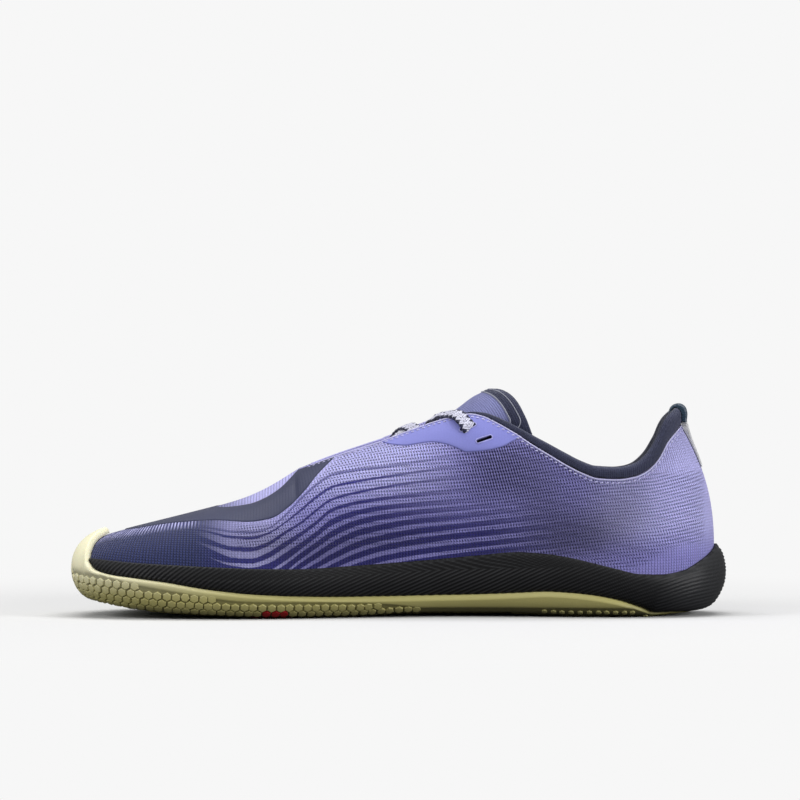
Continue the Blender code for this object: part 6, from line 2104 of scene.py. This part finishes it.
def build_rand():
    ends = (BUMPER_TAU[1] - 2 - 0.008, BUMPER_TAU[0] + 0.008)
    raw = np.linspace(ends[0], ends[1], 4001)
    gap = level_reach(raw, rand_level(raw)) - level_reach(raw, out_level(raw)) - 0.35
    keep = np.where(gap > 0.9)[0]
    raw = raw[keep[0]:keep[-1] + 1]
    s_raw = arc(raw)
    # closer columns round the toe, where the ribs are steep
    d_raw = outline_d(raw)
    density = 1 / np.interp(d_raw, (190, 235), (0.78, 0.42))
    run = np.concatenate([[0], np.cumsum(np.abs(np.diff(s_raw)) * (density[1:] + density[:-1]) / 2)])
    cols = int(run[-1])
    tau = np.interp(np.linspace(0, run[-1], cols), run, raw)
    lo = level_at_reach(tau, level_reach(tau, out_level(tau)) + 0.35, 0.0)
    hi = np.maximum(rand_level(tau), lo + 0.04)
    rows = 50
    f = np.linspace(0, 1, rows)
    levels = lo[:, None] + (hi - lo)[:, None] * f
    wall = rand_wall(outline_d(tau))[:, None]
    profile = steady((0, 0.25, 0.5, 0.75, 0.93, 1.0), (0.78, 1.0, 1.0, 0.88, 0.66, 0.34))(f)[None, :]
    heel_profile = steady((0, 0.25, 0.5, 0.68, 0.84, 0.93, 1.0), (0.74, 0.99, 1.0, 0.90, 0.68, 0.47, 0.14))(f)[None, :]
    profile = profile + (heel_profile - profile) * ease((34 - outline_d(tau)) / 24)[:, None]
    sarc = arc(tau)
    grad = RAND_SLOPE(outline_d(tau))
    # the rib lines rise towards the heel on both sides
    slant = np.sqrt(1 + grad ** 2)
    lean = grad / slant
    step = np.abs(np.diff(sarc)) * (lean[1:] + lean[:-1]) / 2
    climb = np.concatenate([[0], np.cumsum(step)])
    heel = np.interp(0, sarc, climb)
    climb = -np.abs(climb - heel)
    v = rib_lengths(tau, levels)
    phase = (v / slant[:, None] - climb[:, None]) / RIB_PITCH
    wave = 0.5 + 0.5 * np.cos(2 * math.pi * phase)
    crest = wave ** 0.75
    # painted highlight: a pale line along the top edge, and the heel made paler
    shine = np.maximum(crest, 0.8 * ease((f - 0.955) / 0.03)[None, :])
    shine = shine + (1 - shine) * 0.8 * ease((46 - outline_d(tau)) / 30)[:, None]
    depth = np.minimum(0.42, wall * 0.3) * (0.55 + 0.45 * ease((1 - f) / 0.06))[None, :]
    away = GAP + wall * profile - depth * (1 - crest)
    outer = last_point(tau, levels, away)
    inner = last_point(tau, levels[:, ::7], GAP)
    s = Sheet(("crest",))
    uv = np.stack([np.broadcast_to(sarc[:, None], v.shape), v], -1)
    s.grid(outer, uv, crest=shine)
    s.grid(inner, uv[:, ::7], flip=True)
    s.grid(np.stack([outer[:, 0], inner[:, 0]], 1), uv[:, :2])
    s.grid(np.stack([outer[:, -1], inner[:, -1]], 1), uv[:, -2:])
    for end in (0, -1):
        a = outer[end, ::7]
        s.grid(np.stack([a, inner[end]], 1), np.stack([uv[end, ::7]] * 2, 1))
    return s.make("rand_ribbed", [MATS["rand"]])


# ---------------------------------------------------------------- sole with hexagonal pods
POD = 0.8                 # how far the pods stand from the sole
POD_PITCH = 3.75
POD_TOP = steady((0.0, 22.0, 32.0, 72.0, 84.0, 122.0, 130.0, 145.0, 165.0, 200.0, 215.0, 230.0, 246.0, 258.0, 270.0),
                 (0.0, 0.0, 3.2, 3.2, 0.0, 0.0, 3.6, 5.2, 6.0, 6.8, 8.8, 11.4, 14.4, 17.6, 19.0))


def sole_wall_top(d):
    return POD_TOP(d)


def build_sole():
    half = fine_half(110, 90)
    tau = mirror(half)
    top = out_level(tau)
    wall = out_wall(outline_d(tau))
    crest = top - np.clip(0.10 * top, 0.01, 0.05)
    f = np.linspace(0, 1, 30)
    levels = crest[:, None] * f[None]
    away = sole_away(tau, levels, wall)
    p0 = last_point(tau, levels, away)
    under = ease((sole_wall_top(p0[..., 0]) + 0.9 - p0[..., 2]) / 1.2)
    heel_low = ease((4.2 - p0[..., 2]) / 1.5) * ease((p0[..., 0] - 16) / 12)
    zone = np.maximum(under, heel_low)
    outer = last_point(tau, levels, away - 0.55 * zone)
    sgn = np.where(side_of(tau)[1] < 0, -1.0, 1.0)
    low = under_sole(outer[:, 0, 0], outer[:, 0, 1], sgn)
    outer[:, 0, 2] = low + POD
    outer[..., 2] = np.maximum(outer[..., 2], low[:, None] + POD)
    lip = last_point(tau, top[:, None], GAP + 0.5 * wall[:, None])
    li = last_point(tau, (top + (crest - top) * 0.45)[:, None], GAP + 0.86 * wall[:, None])
    wi = np.linspace(0, 1, 9)
    inner = last_point(tau, top[:, None] * wi, GAP + 0.05)
    s = Sheet(("high", "pit"))
    uv = mm_uv(tau, levels)

    def put(g, wrap=True, uvs=None, pit=0.0):
        s.grid(g, g[..., [0, 1]] if uvs is None else uvs, wrap=wrap, high=g[..., 2], pit=pit)
    # painted shade: dark between the pods, along the foot of the wall and over the whole underside
    put(outer, uvs=uv, pit=np.maximum(zone, ease((low[:, None] + 1.6 - outer[..., 2]) / 0.6)))
    put(np.concatenate([outer[:, -1:], li, lip, inner[:, -1:]], 1))
    put(inner)
    put(plate(tau, outer[:, 0], lambda d, y, a: under_sole(d, y, a) + POD, (0, 0.15, 0.3, 0.45, 0.6, 0.8, 1.0)), pit=1.0)
    put(plate(tau, inner[:, 0], lambda d, y, a: SLAB - 0.05 + spring_z(d), (0, 0.5, 1.0)))
    base = s.make("sole_base", [MATS["sole"]], merge=4e-6)

    pods = Sheet(("high",))
    red = Sheet(("high",))
    edge_t = np.linspace(0, 2, 1201)[:-1]
    edge_p = last_point(edge_t, np.array([0.0]), SLAB + GAP)[:, 0]
    a0 = np.arange(6) * math.pi / 3 + math.pi / 6

    def pod(c, e1, e2, n, r, high, into, dome=0.0):
        ring = lambda k: e1 * (np.cos(a0) * r * k)[:, None] + e2 * (np.sin(a0) * r * k)[:, None]
        pts = np.concatenate([c - n * 0.25 + ring(1.02), c + n * (high * 0.72) + ring(0.97), c + n * high + ring(0.84), [c + n * (high + dome)]])
        i = np.arange(6)
        j = (i + 1) % 6
        quads = np.concatenate([np.stack([i, j, j + 6, i + 6], 1), np.stack([i + 6, j + 6, j + 12, i + 12], 1)])
        tris = np.stack([i + 12, j + 12, np.full(6, 18)], 1)
        uvp = pts[:, [0, 1]]
        into.solid(pts, quads, 0, uvp, high=pts[:, 2])
        into.solid(pts, tris, 0, uvp, high=pts[:, 2])
        into.solid(pts[:6][::-1], [tuple(range(6))], 0, uvp[:6], high=pts[0, 2])

    # tread side: pods stand on the floor inside the outline
    rows = np.arange(-16, 17)
    poly = edge_p[:, :2]

    def inside(q):
        x, y = poly[:, 0], poly[:, 1]
        x2, y2 = np.roll(x, -1), np.roll(y, -1)
        hit = ((y > q[1]) != (y2 > q[1])) & (q[0] < (x2 - x) * (q[1] - y) / (y2 - y + 1e-12) + x)
        return hit.sum() % 2 == 1
    gap_to_edge = lambda q: np.min(np.hypot(poly[:, 0] - q[0], poly[:, 1] - q[1]))
    r = POD_PITCH / 2 / math.cos(math.pi / 6) * 0.93
    for k in rows:
        y = k * POD_PITCH * math.sqrt(3) / 2 + 1.0
        for i in range(72):
            d = i * POD_PITCH + (POD_PITCH / 2 if k % 2 else 0) + 3.0
            if not inside((d, y)) or gap_to_edge((d, y)) < 1.95:
                continue
            width = 40.0
            across = np.clip(y / width, -1, 1)
            z = float(under_sole(np.array(d), y, across))
            slope = float(under_sole(np.array(d + 0.5), y, across) - under_sole(np.array(d - 0.5), y, across))
            n = np.array([slope, 0, -1.0])
            n /= np.linalg.norm(n)
            e1 = np.array([1.0, 0, slope])
            e1 /= np.linalg.norm(e1)
            e2 = np.cross(n, e1)
            hot = ((d - 185.5) / 10.5) ** 2 + ((y + 40.0) / 17.0) ** 2 < 1
            pod(np.array([d, y, z + POD]), e1, e2, n, r, POD, red if hot else pods)
    # flank side: rows at even distances up the wall, round the toe and along the low wall
    turn = np.linspace(-1 + 1e-6, 1, 1601)
    tt = np.mod(turn, 2.0)
    lv = np.linspace(0, 1, 48)[None] * (out_level(tt) - 0.06)[:, None]
    skin_p = last_point(tt, lv, sole_away(tt, lv, out_wall(outline_d(tt))))
    climb = np.concatenate([np.zeros((len(tt), 1)), np.cumsum(np.linalg.norm(np.diff(skin_p, axis=1), axis=2), 1)], 1)
    ground = under_sole(skin_p[:, 0, 0], skin_p[:, 0, 1], np.where(side_of(tt)[1] < 0, -1.0, 1.0))
    first = np.array([c[np.argmax(p[:, 2] > g + POD + 0.2)] for c, p, g in zip(climb, skin_p, ground)])

    def row_at(k):
        x = first + 1.25 + k * POD_PITCH * math.sqrt(3) / 2
        take = lambda x: np.stack([[np.interp(v, c, p[:, i]) for v, c, p in zip(x, climb, skin_p)] for i in range(3)], 1)
        return take(x), take(x + 0.4), x < climb[:, -1] - 0.9
    base_row = row_at(1)[0]
    along = np.concatenate([[0], np.cumsum(np.linalg.norm(np.diff(base_row, axis=0), axis=1))])
    n_round = int(along[-1] / POD_PITCH)
    for k in range(7):
        mid, above, room = row_at(k)
        for i in range(n_round):
            x = float(np.interp((i + (0.5 if k % 2 else 0.0)) * along[-1] / n_round, along, np.arange(len(along))))
            j = int(np.clip(round(x), 1, len(along) - 2))
            c = mid[j]
            if not room[j] or c[2] > sole_wall_top(c[0]):
                continue
            e1, e2 = mid[j + 1] - mid[j - 1], above[j] - mid[j]
            e1 /= np.linalg.norm(e1)
            n = np.cross(e1, e2)
            n /= np.linalg.norm(n)
            heart = np.array([min(max(c[0], 60.0), 225.0), float(midline_y(c[0])), c[2] + 8.0])
            n *= 1 if n @ (c - heart) > 0 else -1
            e2 = np.cross(n, e1)
            hot = side_of(np.array([tt[j]]))[1][0] < 0 and ((c[0] - 185.5) / 7.6) ** 2 + ((c[2] - 0.5) / 2.4) ** 2 < 1
            pod(c - n * 0.55, e1, e2, n, r * (0.93 if c[0] > 100 else 0.60), 0.62, red if hot else pods, 0.10)
    a = pods.make("sole_pods", [MATS["sole"]], merge=1e-8, smooth=False, outward=True)
    b = red.make("sole_pods_red", [MATS["red"]], merge=1e-8, smooth=False, outward=True)
    return base, a, b


# ---------------------------------------------------------------- build all of it
def settle(obj, slot, *nodes):
    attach(obj, "root")
    if nodes:
        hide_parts(*nodes)
    return obj


upper = build_upper()
stays = [build_eyestay(side) for side in (-1, 1)]
cutter = slot_cutters(0.0)
wide_cutter = slot_cutters(0.25)
for piece in stays:
    cut(piece, cutter)
cut(upper, wide_cutter)
for piece in (cutter, wide_cutter):
    bpy.data.objects.remove(piece)
settle(upper, "knit", "upper")
for piece in stays:
    settle(piece, "knit")
settle(build_vamp_film(), "knit")
settle(build_edge_stitches(), "knit")
settle(build_edge_whip(), "knit")
settle(build_slot_rims(), "knit")
tongue, seam = build_tongue()
settle(tongue, "tongue_knit", "tongue")
settle(seam, "tongue_knit")
collar = settle(build_collar(), "collar_knit", "collar")
tab, tab_thread = build_heel_tab()
settle(tab, "tab_cloth", "heel_tab")
settle(tab_thread, "tab_cloth")
settle(build_heel_strip(), "tape", "heel_strip")
settle(build_insole(), "footbed", "insole")
settle(build_laces(), "lace_braid", "laces")
settle(build_rand(), "rand_rubber", "rand")
sole, pods, red_pods = build_sole()
settle(sole, "sole_rubber", "outsole")
settle(pods, "sole_rubber")
settle(red_pods, "sole_rubber")


# ---------------------------------------------------------------- floor, light and camera
FLOOR_PALE = 0.725


def build_floor():
    mesh = bpy.data.meshes.new("floor")
    bm = bmesh.new()
    bmesh.ops.create_grid(bm, x_segments=4, y_segments=4, size=6.0)
    bm.to_mesh(mesh)
    bm.free()
    obj = bpy.data.objects.new("floor", mesh)
    obj.location = (0, 0, -0.0001)
    bpy.context.scene.collection.objects.link(obj)
    mat = bpy.data.materials.new("floor_paper")
    mat.use_nodes = True
    nt = mat.node_tree
    nt.nodes.clear()
    out = nt.nodes.new("ShaderNodeOutputMaterial")
    paper, dim, glow = (nt.nodes.new(k) for k in ("ShaderNodeBsdfDiffuse", "ShaderNodeBsdfDiffuse", "ShaderNodeEmission"))
    paper.inputs[0].default_value = (FLOOR_PALE,) * 3 + (1,)
    dim.inputs[0].default_value = (0.15, 0.15, 0.15, 1)
    glow.inputs[0].default_value = (0.93, 0.93, 0.93, 1)
    seen = nt.nodes.new("ShaderNodeLightPath")
    near = nt.nodes.new("ShaderNodeMixShader")
    far = nt.nodes.new("ShaderNodeMixShader")
    co = nt.nodes.new("ShaderNodeTexCoord")
    size = nt.nodes.new("ShaderNodeVectorMath")
    size.operation = "LENGTH"
    edge = nt.nodes.new("ShaderNodeMapRange")
    edge.interpolation_type = "SMOOTHSTEP"
    edge.inputs[1].default_value, edge.inputs[2].default_value = 0.16, 0.34
    link = nt.links.new
    link(co.outputs["Object"], size.inputs[0])
    link(size.outputs["Value"], edge.inputs[0])
    link(edge.outputs[0], far.inputs[0])
    link(paper.outputs[0], far.inputs[1])
    link(glow.outputs[0], far.inputs[2])
    link(seen.outputs["Is Camera Ray"], near.inputs[0])
    link(dim.outputs[0], near.inputs[1])
    link(far.outputs[0], near.inputs[2])
    link(near.outputs[0], out.inputs[0])
    mesh.materials.append(mat)


def area_light(name, place, aim, size, watts, colour=(1, 1, 1)):
    data = bpy.data.lights.new(name, "AREA")
    data.shape, data.size, data.size_y = "RECTANGLE", size[0], size[1]
    data.energy, data.color = watts, colour
    obj = bpy.data.objects.new(name, data)
    obj.location = place
    obj.rotation_euler = (Vector(aim) - Vector(place)).to_track_quat("-Z", "Y").to_euler()
    bpy.context.scene.collection.objects.link(obj)


build_floor()
area_light("top_soft", (0.0, 0.15, 1.4), (0, 0, 0.03), (1.5, 0.9), 15.8)
area_light("front_soft", (-0.5, -1.7, 1.1), (0, 0, 0.04), (1.4, 0.8), 6.2)
area_light("toe_soft", (-1.4, -0.7, 0.75), (-0.1, 0, 0.02), (0.8, 0.8), 10.5)
area_light("rim_right", (1.25, -0.75, 0.42), (0.12, 0, 0.03), (0.45, 0.5), 13.0)

scene = bpy.context.scene
world = bpy.data.worlds.new("studio")
world.use_nodes = True
sky = world.node_tree.nodes["Background"]
sky.inputs[0].default_value = (0.93, 0.93, 0.93, 1)
look = world.node_tree.nodes.new("ShaderNodeLightPath")
level = world.node_tree.nodes.new("ShaderNodeMapRange")
level.inputs[3].default_value, level.inputs[4].default_value = 0.275, 1.0
world.node_tree.links.new(look.outputs["Is Camera Ray"], level.inputs[0])
world.node_tree.links.new(level.outputs[0], sky.inputs[1])
scene.world = world
scene.view_settings.view_transform = "Standard"

cam_data = bpy.data.cameras.new("camera")
cam = bpy.data.objects.new("camera", cam_data)
scene.collection.objects.link(cam)
AIM, FAR, RAISED = Vector((0.0001, -0.01, 0.0883)), 3.0, math.radians(1.7)
cam.location = AIM + Vector((0, -math.cos(RAISED), math.sin(RAISED))) * FAR
cam.rotation_euler = (AIM - cam.location).to_track_quat("-Z", "Y").to_euler()
cam_data.sensor_width = 36.0
cam_data.lens = 36.0 * FAR / 0.329
cam_data.clip_start, cam_data.clip_end = 0.05, 30.0
scene.camera = cam

bpy.context.view_layer.update()
